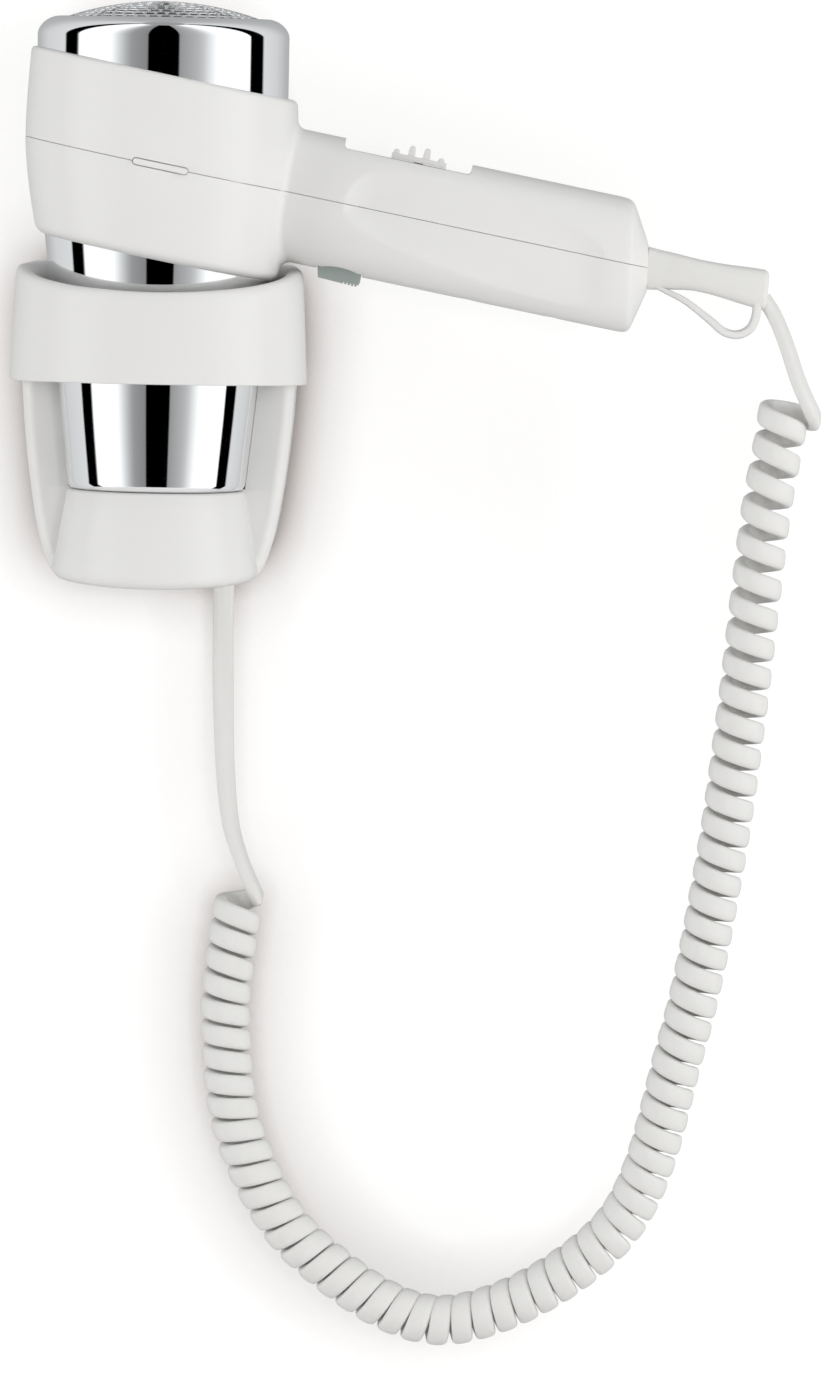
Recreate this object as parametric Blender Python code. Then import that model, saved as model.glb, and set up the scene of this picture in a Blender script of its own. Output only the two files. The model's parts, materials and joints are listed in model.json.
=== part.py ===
"""Wall-mounted hair dryer in its holder: a chromed barrel held by an oblique white band with a handle,
a collar and tray that carry it on the wall, and a curly cord from the handle's end to the holder.

Metres, +Z up. The origin is on the wall face of the mounting plate, straight behind the barrel's axis and
level with the lower edge of the collar. +X is to the right as one faces the wall, and -Y is out from it.
"""

import math

import bmesh
import bpy
from mathutils import Matrix, Vector

# Driving dimensions, in metres.
GAP = 0.0003
AXIS_Y = -0.054
BARREL_SIDES = 48

CAP_RADIUS = 0.0400
CAP_BOTTOM = 0.0805
CAP_TOP = 0.1158
CAP_CORNER = 0.0058
CAP_CORNER_POWER = 1.5
CAP_WALL = 0.0016
GRILLE_RADIUS = 0.0331
GRILLE_EDGE = 0.1149
GRILLE_APEX = 0.1210
NOZZLE_TOP = 0.0770
NOZZLE_BOTTOM = -0.0337
NOZZLE_LIP = 0.0014
NOZZLE_TAPER = 0.106
NOZZLE_WALL = 0.0018

SEAM_HEIGHT = 0.0693
HANDLE_SLOPE = math.radians(10.85)
BAND_TOP = 0.02855
BAND_BOTTOM = -0.0292
BAND_PROFILE = ((0.0300, 0.0372), (0.0372, 0.0383), (0.0470, 0.0396), (0.0600, 0.0418), (0.0700, 0.0430),
                (0.0780, 0.0434), (0.0900, 0.0430), (0.1064, 0.0418), (0.1130, 0.0411))
HANDLE_HALF_DEPTH = 0.0155
HANDLE_TOP = 0.0203
HANDLE_BOTTOM = -0.0220
HANDLE_ROUNDNESS = 2.6
END_SLANT = 0.165
HANDLE_CAVITY_END = 0.1505
CAVITY_TOP = 0.0146
CAVITY_BOTTOM = -0.0196
CAVITY_HALF_DEPTH = 0.0131

TRACK_START = 0.0558
TRACK_END = 0.0970
TRACK_FLOOR = 0.0170
SLIDER_CENTRE = 0.0799
SLIDER_TRAVEL = 0.0100
BUTTON_CENTRE = 0.06235
BUTTON_LENGTH = 0.0143
BUTTON_WIDTH = 0.0124
BUTTON_TIP = -0.0252
BUTTON_BACK = -0.0172
INSERT_LENGTH = 0.0180
INSERT_HEIGHT = 0.0025
INSERT_PLACE = 0.0010
SCREW_PLACES = (0.1040, 0.1320)

RING_HEIGHT = 0.0368
RING_BOTTOM_RADIUS = 0.04755
RING_TOP_RADIUS = 0.0459
RING_FRONT_DROP = 0.0070
PLATE_THICKNESS = 0.0040
HOLDER_BOTTOM = -0.0625
CHEEK_FRONT = -0.050
CHEEK_CORNER = 0.0040
TRAY_TOP_RADIUS = 0.0284
TRAY_TOP = -0.0354
TRAY_BOTTOM = -0.0645
TRAY_BOTTOM_RADIUS = 0.0330
TRAY_FLOOR = 0.0025
TRAY_LIP = 0.0024
NOZZLE_PLAY = 0.0016
WALL_SCREW_HEIGHTS = (0.0240, -0.0480)

CORD_WIDTH = 0.0068
COIL_DIAMETER = 0.0165
GLAND = (0.0211, -0.0112)
LEAD_HOLDER = ((0.0211, -0.0112, -0.0655), (0.0211, -0.0115, -0.0740), (0.0212, -0.0120, -0.0880),
               (0.0216, -0.0127, -0.1040), (0.0228, -0.0133, -0.1260), (0.0247, -0.0138, -0.1460),
               (0.0268, -0.0141, -0.1580), (0.0276, -0.0143, -0.1640),
               (0.0277, -0.0143, -0.1676))
COIL = ((0.0277, -0.0143, -0.1686), (0.0276, -0.0143, -0.1720), (0.0256, -0.0146, -0.1860),
        (0.0242, -0.0148, -0.2100), (0.0300, -0.0155, -0.2480), (0.0530, -0.0180, -0.2840),
        (0.0985, -0.0235, -0.3050), (0.1520, -0.0315, -0.2730), (0.1720, -0.0385, -0.2120),
        (0.1825, -0.0440, -0.1550),
        (0.1884, -0.0480, -0.1060), (0.1922, -0.0510, -0.0650), (0.1950, -0.0530, -0.0370),
        (0.1987, -0.0538, -0.0150), (0.2000, -0.0540, -0.0085),
        (0.2001, -0.0540, -0.0058))
LEAD_DRYER = ((0.2002, -0.0540, -0.0050), (0.2003, -0.0540, 0.0025), (0.1994, -0.0540, 0.0100),
              (0.1974, -0.0540, 0.0180), (0.1955, -0.0540, 0.0258))

WHITE = ("white_plastic", (0.86, 0.85, 0.83), 0.28, 0.0)
CORD_WHITE = ("cord_white", (0.80, 0.79, 0.77), 0.45, 0.0)
CHROME = ("chrome", (0.82, 0.83, 0.84), 0.06, 1.0)
GREY_GREEN = ("button_grey", (0.25, 0.30, 0.28), 0.45, 0.0)
DARK = ("dark_plastic", (0.05, 0.05, 0.055), 0.5, 0.0)
MICA = ("mica", (0.62, 0.52, 0.36), 0.55, 0.0)
STEEL = ("steel", (0.55, 0.55, 0.56), 0.3, 1.0)
WIRE = ("heater_wire", (0.40, 0.36, 0.33), 0.35, 1.0)
BOARD = ("circuit_board", (0.05, 0.22, 0.11), 0.5, 0.0)


def clear_scene():
    for obj in list(bpy.data.objects):
        bpy.data.objects.remove(obj, do_unlink=True)


def material(spec):
    name, colour, roughness, metallic = spec
    found = bpy.data.materials.get(name)
    if found:
        return found
    made = bpy.data.materials.new(name)
    made.use_nodes = True
    shader = made.node_tree.nodes["Principled BSDF"]
    shader.inputs["Base Color"].default_value = (*colour, 1.0)
    shader.inputs["Roughness"].default_value = roughness
    shader.inputs["Metallic"].default_value = metallic
    return made


def frame(name, location, tilt=0.0):
    """An empty that pieces are placed in; tilt turns it about +Y."""
    empty = bpy.data.objects.new(name, None)
    empty.location = location
    empty.rotation_euler = (0.0, tilt, 0.0)
    bpy.context.collection.objects.link(empty)
    return empty


def add(name, bm, parent, spec, location=(0, 0, 0)):
    bmesh.ops.recalc_face_normals(bm, faces=bm.faces)
    mesh = bpy.data.meshes.new(name)
    bm.to_mesh(mesh)
    bm.free()
    obj = bpy.data.objects.new(name, mesh)
    bpy.context.collection.objects.link(obj)
    obj.parent = parent
    obj.location = location
    if spec:
        mesh.materials.append(material(spec))
        mesh.shade_smooth()
        mesh.set_sharp_from_angle(angle=math.radians(35))
    else:
        obj.hide_render = True
        obj.display_type = "WIRE"
    return obj


def modify(obj, operation, *others):
    for other in others:
        boolean = obj.modifiers.new(other.name, "BOOLEAN")
        boolean.operation = operation
        boolean.solver = "EXACT"
        boolean.object = other
    return obj


def cut(obj, *cutters):
    return modify(obj, "DIFFERENCE", *cutters)


def join(obj, *others):
    return modify(obj, "UNION", *others)


def loft(loops, closed=False):
    """Closed loops of equal count joined side by side, with an end face on each end unless closed."""
    bm = bmesh.new()
    rows = [[bm.verts.new(point) for point in loop] for loop in loops]
    pairs = list(zip(rows, rows[1:]))
    if closed:
        pairs.append((rows[-1], rows[0]))
    count = len(rows[0])
    for first, second in pairs:
        for i in range(count):
            j = (i + 1) % count
            bm.faces.new((first[i], first[j], second[j], second[i]))
    if not closed:
        bm.faces.new(rows[0])
        bm.faces.new(rows[-1])
    return bm


def ring_points(radius, height, sides=BARREL_SIDES):
    turn = 2 * math.pi / sides
    return [(radius * math.cos(i * turn), radius * math.sin(i * turn), height) for i in range(sides)]


def turned(profile, sides=BARREL_SIDES, closed=False):
    """A solid of (radius, height) points turned about Z; closed profiles leave a bore."""
    return loft([ring_points(radius, height, sides) for radius, height in profile], closed)


def boxes(*spans):
    """One mesh of separate boxes, each given as its x, y and z spans."""
    bm = bmesh.new()
    for x, y, z in spans:
        centre = Vector(((x[0] + x[1]) / 2, (y[0] + y[1]) / 2, (z[0] + z[1]) / 2))
        size = (x[1] - x[0], y[1] - y[0], z[1] - z[0])
        place = Matrix.Translation(centre) @ Matrix.Diagonal((*size, 1.0))
        bmesh.ops.create_cube(bm, size=1.0, matrix=place)
    return bm


def spokes(count, inner, outer, width, low, high, pitch=0.0, phase=0.0):
    """Radial bars about Z; pitch turns each about its own length."""
    bm = bmesh.new()
    for i in range(count):
        turn = Matrix.Rotation(phase + 2 * math.pi * i / count, 4, "Z")
        move = Matrix.Translation(((inner + outer) / 2, 0, (low + high) / 2))
        lean = Matrix.Rotation(pitch, 4, "X")
        size = Matrix.Diagonal((outer - inner, width, high - low, 1.0))
        bmesh.ops.create_cube(bm, size=1.0, matrix=turn @ move @ lean @ size)
    return bm


def rod(radius, low, high, sides=16):
    return turned(((radius, low), (radius, high)), sides)


def nozzle_radius(height):
    return CAP_RADIUS - (NOZZLE_TOP - height) * NOZZLE_TAPER


def superellipse(half_depth, low, high, power=HANDLE_ROUNDNESS, sides=32):
    """A rounded outline of (across, up) points."""
    points = []
    for i in range(sides):
        angle = 2 * math.pi * i / sides
        c, s = math.cos(angle), math.sin(angle)
        across = half_depth * math.copysign(abs(c) ** (2 / power), c)
        up = (high + low) / 2 + (high - low) / 2 * math.copysign(abs(s) ** (2 / power), s)
        points.append((across, up))
    return points


def handle_loop(along, half_depth, low, high):
    return [(along, across, up) for across, up in superellipse(half_depth, low, high)]


def smooth_route(points, step):
    """Points a step apart on a Catmull-Rom curve through the given ones."""
    given = [Vector(p) for p in points]
    given = [2 * given[0] - given[1]] + given + [2 * given[-1] - given[-2]]
    fine = []
    for a, b, c, d in zip(given, given[1:], given[2:], given[3:]):
        for i in range(20):
            t = i / 20
            fine.append(0.5 * (2 * b + (c - a) * t + (2 * a - 5 * b + 4 * c - d) * t ** 2
                               + (3 * b - a - 3 * c + d) * t ** 3))
    fine.append(given[-2])
    total = sum((q - p).length for p, q in zip(fine, fine[1:]))
    spaces = max(2, round(total / step))
    spaced, walked, wanted = [fine[0]], 0.0, total / spaces
    for p, q in zip(fine, fine[1:]):
        length = (q - p).length
        while walked + length >= wanted * len(spaced) and len(spaced) < spaces:
            spaced.append(p.lerp(q, (wanted * len(spaced) - walked) / length))
        walked += length
    return spaced + [fine[-1]]


def tube(name, points, radius, spec, parent=None, resolution=2):
    """A curve with a round bevel and filled caps."""
    curve = bpy.data.curves.new(name, "CURVE")
    curve.dimensions = "3D"
    curve.bevel_depth = radius
    curve.bevel_resolution = resolution
    curve.render_resolution_u = 0
    curve.use_fill_caps = True
    spline = curve.splines.new("POLY")
    spline.points.add(len(points) - 1)
    for target, point in zip(spline.points, points):
        target.co = (*point, 1.0)
    obj = bpy.data.objects.new(name, curve)
    bpy.context.collection.objects.link(obj)
    obj.parent = parent
    curve.materials.append(material(spec))
    return obj


def swept_flat(points, radius, sides=8):
    """A round bar along a route that lies in the XZ plane."""
    loops = []
    for i, point in enumerate(points):
        ahead = Vector(points[min(i + 1, len(points) - 1)]) - Vector(points[max(i - 1, 0)])
        across = Vector((-ahead.z, 0, ahead.x)).normalized()
        loop = []
        for j in range(sides):
            angle = 2 * math.pi * j / sides
            out = math.cos(angle) * across + math.sin(angle) * Vector((0, 1, 0))
            loop.append(Vector(point) + radius * out)
        loops.append(loop)
    return loft(loops)


def helix(radius, low, high, turns, per_turn):
    count = turns * per_turn
    points = []
    for i in range(count + 1):
        angle = 2 * math.pi * i / per_turn
        points.append((radius * math.cos(angle), radius * math.sin(angle), low + (high - low) * i / count))
    return points


def build_barrel(barrel):
    """The chromed rear cap and nozzle, with the intake grille and the lint screen under it."""
    lip = GRILLE_RADIUS + GAP
    reach = CAP_RADIUS - lip
    shoulder = CAP_TOP - CAP_CORNER
    outer, inner = [], []
    for i in range(7):
        angle = math.pi / 2 * i / 6
        across = abs(math.cos(angle)) ** (2 / CAP_CORNER_POWER)
        up = math.sin(angle) ** (2 / CAP_CORNER_POWER)
        outer.append((lip + reach * across, shoulder + CAP_CORNER * up))
        inner.append((lip + (reach - CAP_WALL) * across, shoulder + (CAP_CORNER - CAP_WALL) * up))
    profile = [(CAP_RADIUS, CAP_BOTTOM)] + outer + inner[::-1] + [(CAP_RADIUS - CAP_WALL, CAP_BOTTOM)]
    add("rear_cap", turned(profile, closed=True), barrel, CHROME)

    dome = []
    for i in range(6):
        outward = 1 - i / 6
        rise = (GRILLE_APEX - GRILLE_EDGE) * (1 - outward ** 2)
        dome.append((GRILLE_RADIUS * outward, GRILLE_EDGE + rise))
    under = [(radius, height - 0.0014) for radius, height in dome[::-1]]
    bm = turned(under + dome, 36)
    grille = add("intake_grille", bm, barrel, CHROME)
    slots = bmesh.new()
    for row, (count, radius) in enumerate(((6, 0.0085), (12, 0.0165), (18, 0.0245))):
        arc = spokes(count, radius - 0.0022, radius + 0.0022, 0.0036, 0.105, 0.125, phase=0.3 * row)
        slots.from_mesh(to_mesh(arc))
    cut(grille, add("grille_slots", slots, barrel, None))

    add("lint_screen", rod(0.0374, 0.1104, 0.1110, 36), barrel, STEEL)

    lip = NOZZLE_BOTTOM + NOZZLE_LIP
    profile = [(nozzle_radius(z), z) for z in (NOZZLE_TOP, 0.022, lip)]
    profile += [(nozzle_radius(lip) - 0.0004, NOZZLE_BOTTOM), (nozzle_radius(lip) - 0.0013, NOZZLE_BOTTOM)]
    profile += [(nozzle_radius(z) - NOZZLE_WALL, z) for z in (lip, 0.022, NOZZLE_TOP)]
    nozzle = add("front_barrel", turned(profile, closed=True), barrel, CHROME)
    cut(nozzle, add("wire_window", boxes(((0.030, 0.046), (-0.011, 0.011), (0.050, 0.071))), barrel, None))


def to_mesh(bm):
    mesh = bpy.data.meshes.new("part_of_a_cutter")
    bm.to_mesh(mesh)
    bm.free()
    return mesh


def build_fan_and_motor(barrel):
    """The axial fan on its shaft, the motor, and the vaned mount that holds both in the barrel."""
    sleeve = turned(((0.0380, 0.0825), (0.0380, 0.1085), (0.0365, 0.1085), (0.0365, 0.0825)), closed=True)
    mount = add("motor_mount", sleeve, barrel, DARK)
    cup = turned(((0.0156, 0.0620), (0.0156, 0.0900), (0.0139, 0.0900), (0.0139, 0.0620)), 32, True)
    vanes = spokes(6, 0.0148, 0.0372, 0.0016, 0.0832, 0.0895, pitch=math.radians(20))
    join(mount, add("mount_cup", cup, barrel, None), add("mount_vanes", vanes, barrel, None))

    motor = add("motor", rod(0.0135, 0.0625, 0.0895, 28), barrel, STEEL)
    cut(motor, add("bearing_bore", rod(0.0014, 0.0800, 0.0920, 12), barrel, None))
    add("motor_shaft", rod(0.0010, 0.0810, 0.1040, 12), barrel, STEEL)

    hub = turned(((0.0118, 0.0920), (0.0118, 0.1030), (0.0090, 0.1062)), 28)
    impeller = add("fan_impeller", hub, barrel, DARK)
    blades = spokes(7, 0.0108, 0.0350, 0.0013, 0.0920, 0.1050, pitch=math.radians(48))
    join(impeller, add("fan_blades", blades, barrel, None))
    cut(impeller, add("fan_bore", rod(0.0013, 0.0900, 0.1043, 12), barrel, None))

    add("motor_board", rod(0.0130, 0.0598, 0.0612, 28), barrel, BOARD)
    capacitor = boxes(((-0.0065, 0.0065), (-0.0030, 0.0030), (0.0530, 0.0595)))
    add("suppression_capacitor", capacitor, barrel, MICA)


def build_heater(barrel):
    """Crossed mica boards with the wire wound round them, in a mica sleeve, above the outlet grille."""
    half, low, high, middle, thick, slot = 0.0215, -0.0180, 0.0480, 0.0150, 0.0004, 0.0007
    board = add("heater_board_front", boxes(((-half, half), (-thick, thick), (low, high))), barrel, MICA)
    slit = boxes(((-slot, slot), (-0.002, 0.002), (middle - GAP, 0.06)))
    cut(board, add("board_slot_top", slit, barrel, None))
    board = add("heater_board_side", boxes(((-thick, thick), (-half, half), (low, high))), barrel, MICA)
    slit = boxes(((-0.002, 0.002), (-slot, slot), (-0.03, middle + GAP)))
    cut(board, add("board_slot_low", slit, barrel, None))
    tube("heater_coil", helix(0.0226, -0.0120, 0.0420, 6, 12), 0.0006, WIRE, barrel, 0)

    outer = [(nozzle_radius(z) - 0.0030, z) for z in (-0.0225, 0.0500)]
    inner = [(radius - 0.0006, z) for radius, z in outer[::-1]]
    add("mica_sleeve", turned(outer + inner, 40, True), barrel, MICA)

    add("thermostat", boxes(((0.0040, 0.0120), (0.0008, 0.0040), (0.0280, 0.0400))), barrel, STEEL)
    add("thermal_fuse", rod(0.0014, -0.0050, 0.0050, 12), barrel, STEEL, (-0.0100, 0.0024, 0.0330))

    grille = add("outlet_grille", turned(((0.0266, -0.0274), (0.0266, -0.0254), (0.0248, -0.0254),
                                          (0.0248, -0.0274)), 40, True), barrel, STEEL)
    rings = []
    for i, radius in enumerate((0.0055, 0.0120, 0.0185)):
        ring = turned(((radius + 0.0006, -0.0270), (radius + 0.0006, -0.0258), (radius - 0.0006, -0.0258),
                       (radius - 0.0006, -0.0270)), 24, True)
        rings.append(add(f"grille_ring_{i + 1}", ring, barrel, None))
    cross = boxes(((-0.0256, 0.0256), (-0.0006, 0.0006), (-0.0268, -0.0260)))
    cross_two = boxes(((-0.0006, 0.0006), (-0.0256, 0.0256), (-0.0268, -0.0260)))
    join(grille, *rings, add("grille_cross_1", cross, barrel, None),
         add("grille_cross_2", cross_two, barrel, None))


def handle_outline():
    """Outer shape of the handle: even as far as its end, which slopes in to the strain relief."""
    stations = ((0.0300, 1.00, 0.0), (0.1380, 1.00, 0.0), (0.1514, 0.985, 1.0), (0.1534, 0.90, 1.0),
                (0.1582, 0.34, 1.0))
    loops = []
    for along, share, slant in stations:
        loop = handle_loop(along, HANDLE_HALF_DEPTH * share, HANDLE_BOTTOM * share, HANDLE_TOP * share)
        loops.append([(x - END_SLANT * slant * z, y, z) for x, y, z in loop])
    return loft(loops)


def handle_cavity():
    return loft([handle_loop(along, CAVITY_HALF_DEPTH * share, CAVITY_BOTTOM * share, CAVITY_TOP * share)
                 for along, share in ((0.0360, 1.0), (0.1440, 1.0), (HANDLE_CAVITY_END, 0.86))])


def pill(length, height, near, far, shrink=0.0):
    """A round-ended bar lying along X, extruded along Y."""
    radius = height / 2 - shrink
    reach = length / 2 - height / 2
    outline = []
    for side, start in ((1, -math.pi / 2), (-1, math.pi / 2)):
        for i in range(7):
            angle = start + math.pi * i / 6
            outline.append((side * reach + radius * math.cos(angle), radius * math.sin(angle)))
    return loft([[(x, y, z) for x, z in outline] for y in (near, far)])


def build_housing(barrel, handle):
    """The band and handle in two shells that part along the handle's middle plane."""
    bore = [(CAP_RADIUS + 0.0004, 0.1300), (CAP_RADIUS + 0.0004, NOZZLE_TOP + 0.0015)]
    bore += [(nozzle_radius(z) + 0.0004, z) for z in (NOZZLE_TOP, 0.0200)]
    bore_cutter = add("barrel_bore", turned(bore), barrel, None)
    cavity = add("handle_cavity", handle_cavity(), handle, None)
    relief_hole = boxes(((0.1480, 0.1660), (-0.0048, 0.0048), (-0.0062, 0.0058)))
    relief_hole = add("relief_hole", relief_hole, handle, None)
    pocket = pill(INSERT_LENGTH, INSERT_HEIGHT, -0.0460, -0.0413)
    pocket = add("insert_pocket", pocket, handle, None, (INSERT_PLACE, 0, 0))
    halves = (
        ("housing_rear", (GAP / 2, BAND_TOP), (GAP / 2, 0.060)),
        ("housing_front", (BAND_BOTTOM, -GAP / 2), (-0.060, -GAP / 2)),
    )
    made = []
    for name, band_span, half_span in halves:
        slab = add(f"{name}_slab", boxes(((-0.060, 0.060), (-0.060, 0.060), band_span)), handle, None)
        side = add(f"{name}_side", boxes(((0.0200, 0.1800), (-0.040, 0.040), half_span)), handle, None)
        grip = add(f"{name}_grip", handle_outline(), handle, None)
        modify(grip, "INTERSECT", side)
        shell = add(name, turned([(r, z) for z, r in BAND_PROFILE]), barrel, WHITE)
        modify(shell, "INTERSECT", slab)
        join(shell, grip)
        cut(shell, bore_cutter, cavity, relief_hole, pocket)
        made.append(shell)
    rear, front = made
    track = boxes(((TRACK_START, TRACK_END), (-0.020, 0.020), (TRACK_FLOOR, 0.040)))
    cut(rear, add("track", track, handle, None))
    stem = (SLIDER_CENTRE - SLIDER_TRAVEL - 0.0020, SLIDER_CENTRE + 0.0020)
    cut(rear, add("stem_slot", boxes((stem, (-0.0016, 0.0016), (0.0100, 0.0200))), handle, None))
    half = BUTTON_LENGTH / 2 + GAP
    across = BUTTON_WIDTH / 2 + GAP
    window = boxes(((BUTTON_CENTRE - half, BUTTON_CENTRE + half), (-across, across), (-0.030, -0.015)))
    cut(front, add("button_window", window, handle, None))
    for i, along in enumerate(SCREW_PLACES):
        join(rear, add(f"rear_boss_{i + 1}", rod(0.0032, 0.0004, 0.0155), handle, None, (along, 0, 0)))
        join(front, add(f"front_boss_{i + 1}", rod(0.0044, -0.0205, -0.0004), handle, None, (along, 0, 0)))
        cut(rear, add(f"pilot_{i + 1}", rod(0.0013, -0.0010, 0.0100, 12), handle, None, (along, 0, 0)))
        cut(front, add(f"screw_way_{i + 1}", rod(0.0018, -0.0260, 0.0010, 12), handle, None, (along, 0, 0)),
            add(f"screw_seat_{i + 1}", rod(0.0034, -0.0260, -0.0125), handle, None, (along, 0, 0)))
        screw = turned(((0.0029, -0.0150), (0.0029, -0.0128), (0.0010, -0.0126), (0.0010, 0.0085)), 12)
        add(f"housing_screw_{i + 1}", screw, handle, STEEL, (along, 0, 0))
    insert = pill(INSERT_LENGTH, INSERT_HEIGHT, -0.0432, -0.0416, 0.00020)
    add("seam_insert", insert, handle, WHITE, (INSERT_PLACE, 0, 0))


def build_controls(handle):
    """The speed slider with its switch, and the sprung button with its own."""
    rib_tops = (0.0203, 0.0223, 0.0224, 0.0202)
    base = boxes(((-0.0088, 0.0088), (-0.0065, 0.0065), (0.0173, 0.0189)))
    slider = add("switch_slider", base, handle, WHITE, (SLIDER_CENTRE, 0, 0))
    spans = []
    for i, top in enumerate(rib_tops):
        centre = -0.0075 + 0.00485 * i
        spans.append(((centre - 0.0012, centre + 0.0012), (-0.0055, 0.0055), (0.0180, top)))
    spans.append(((-0.0015, 0.0015), (-0.0012, 0.0012), (0.0100, 0.0180)))
    for i, span in enumerate(spans):
        join(slider, add(f"slider_rib_{i + 1}", boxes(span), handle, None, (SLIDER_CENTRE, 0, 0)))

    case = boxes(((0.0640, 0.0900), (-0.0060, 0.0060), (-0.0010, 0.0135)))
    switch = add("speed_switch_body", case, handle, DARK)
    groove = boxes(((0.0655, 0.0840), (-0.0018, 0.0018), (0.0095, 0.0200)))
    cut(switch, add("switch_groove", groove, handle, None))

    half, across = BUTTON_LENGTH / 2, BUTTON_WIDTH / 2
    crown = [(-half, BUTTON_BACK), (-half, -0.0212), (-half + 0.0009, -0.0247), (half - 0.0012, BUTTON_TIP),
             (half - 0.0004, BUTTON_TIP + 0.0004), (half, BUTTON_TIP + 0.0014), (half, BUTTON_BACK)]
    body = loft([[(x, y, z) for x, z in crown] for y in (-across, across)])
    place = (BUTTON_CENTRE, 0, 0)
    button = add("safety_button", body, handle, GREY_GREEN, place)
    flange = boxes(((-0.0088, 0.0088), (-0.0066, 0.0066), (-0.0181, BUTTON_BACK)))
    join(button, add("button_flange", flange, handle, None, place))
    tube("button_spring", [(BUTTON_CENTRE + x, y, z) for x, y, z in helix(0.0022, -0.0164, -0.0088, 4, 10)],
         0.0004, STEEL, handle, 0)
    microswitch = boxes(((0.0550, 0.0700), (-0.0045, 0.0045), (-0.0080, -0.0015)))
    add("button_microswitch", microswitch, handle, DARK)


def build_relief(handle):
    """The moulded strain relief with its hanging loop, and the clamp that holds the cord inside."""
    stations = ((0.1586, 0.0052, 0.0067, -0.0003), (0.1660, 0.0046, 0.0058, 0.0003),
                (0.1740, 0.0042, 0.0051, 0.0008), (0.1820, 0.0042, 0.0053, 0.0008),
                (0.1900, 0.0045, 0.0060, 0.0007), (0.1955, 0.0048, 0.0063, 0.0006),
                (0.1972, 0.0042, 0.0056, 0.0006))
    loops = []
    for i, (along, depth, height, centre) in enumerate(stations):
        slant = END_SLANT if i == 0 else 0.0
        section = superellipse(depth, centre - height, centre + height, 3, 20)
        loops.append([(along - slant * up, across, up) for across, up in section])
    relief = add("strain_relief", loft(loops), handle, CORD_WHITE)
    neck = boxes(((0.1485, 0.1610), (-0.0044, 0.0044), (-0.0058, 0.0054)))
    flange = boxes(((0.1475, 0.1500), (-0.0062, 0.0062), (-0.0082, 0.0078)))
    loop_route = ((0.1625, -0.0058), (0.1723, -0.0079), (0.1808, -0.0120), (0.1861, -0.0150), (0.1909, -0.0150),
                  (0.1945, -0.0120), (0.1952, -0.0076), (0.1945, -0.0030))
    route = smooth_route([(u, 0, v) for u, v in loop_route], 0.0035)
    loop = add("relief_loop", swept_flat(route, 0.0014), handle, None)
    join(relief, add("relief_neck", neck, handle, None), add("relief_flange", flange, handle, None), loop)

    add("cord_clamp", boxes(((0.1400, 0.1450), (-0.0095, 0.0095), (-0.0058, -0.0030))), handle, DARK)
    for i, side in enumerate((-0.0070, 0.0070)):
        add(f"clamp_screw_{i + 1}", turned(((0.0009, -0.0027), (0.0022, -0.0026), (0.0022, -0.0008)), 10),
            handle, STEEL, (0.1425, side, 0))


def collar_outline(radius, height, arc_points=25):
    """A half circle round the barrel's axis, with straight sides back to the mounting plate."""
    back = -PLATE_THICKNESS - GAP
    points = [(radius, back), (radius, AXIS_Y / 2)]
    for i in range(arc_points):
        angle = -math.pi * i / (arc_points - 1)
        points.append((radius * math.cos(angle), AXIS_Y + radius * math.sin(angle)))
    points += [(-radius, AXIS_Y / 2), (-radius, back)]
    loop = []
    for x, y in points:
        forward = min(1.0, max(0.0, (AXIS_Y - y) / RING_TOP_RADIUS))
        drop = RING_FRONT_DROP * forward * (height / RING_HEIGHT)
        loop.append((x, y, height - drop))
    return loop


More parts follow.
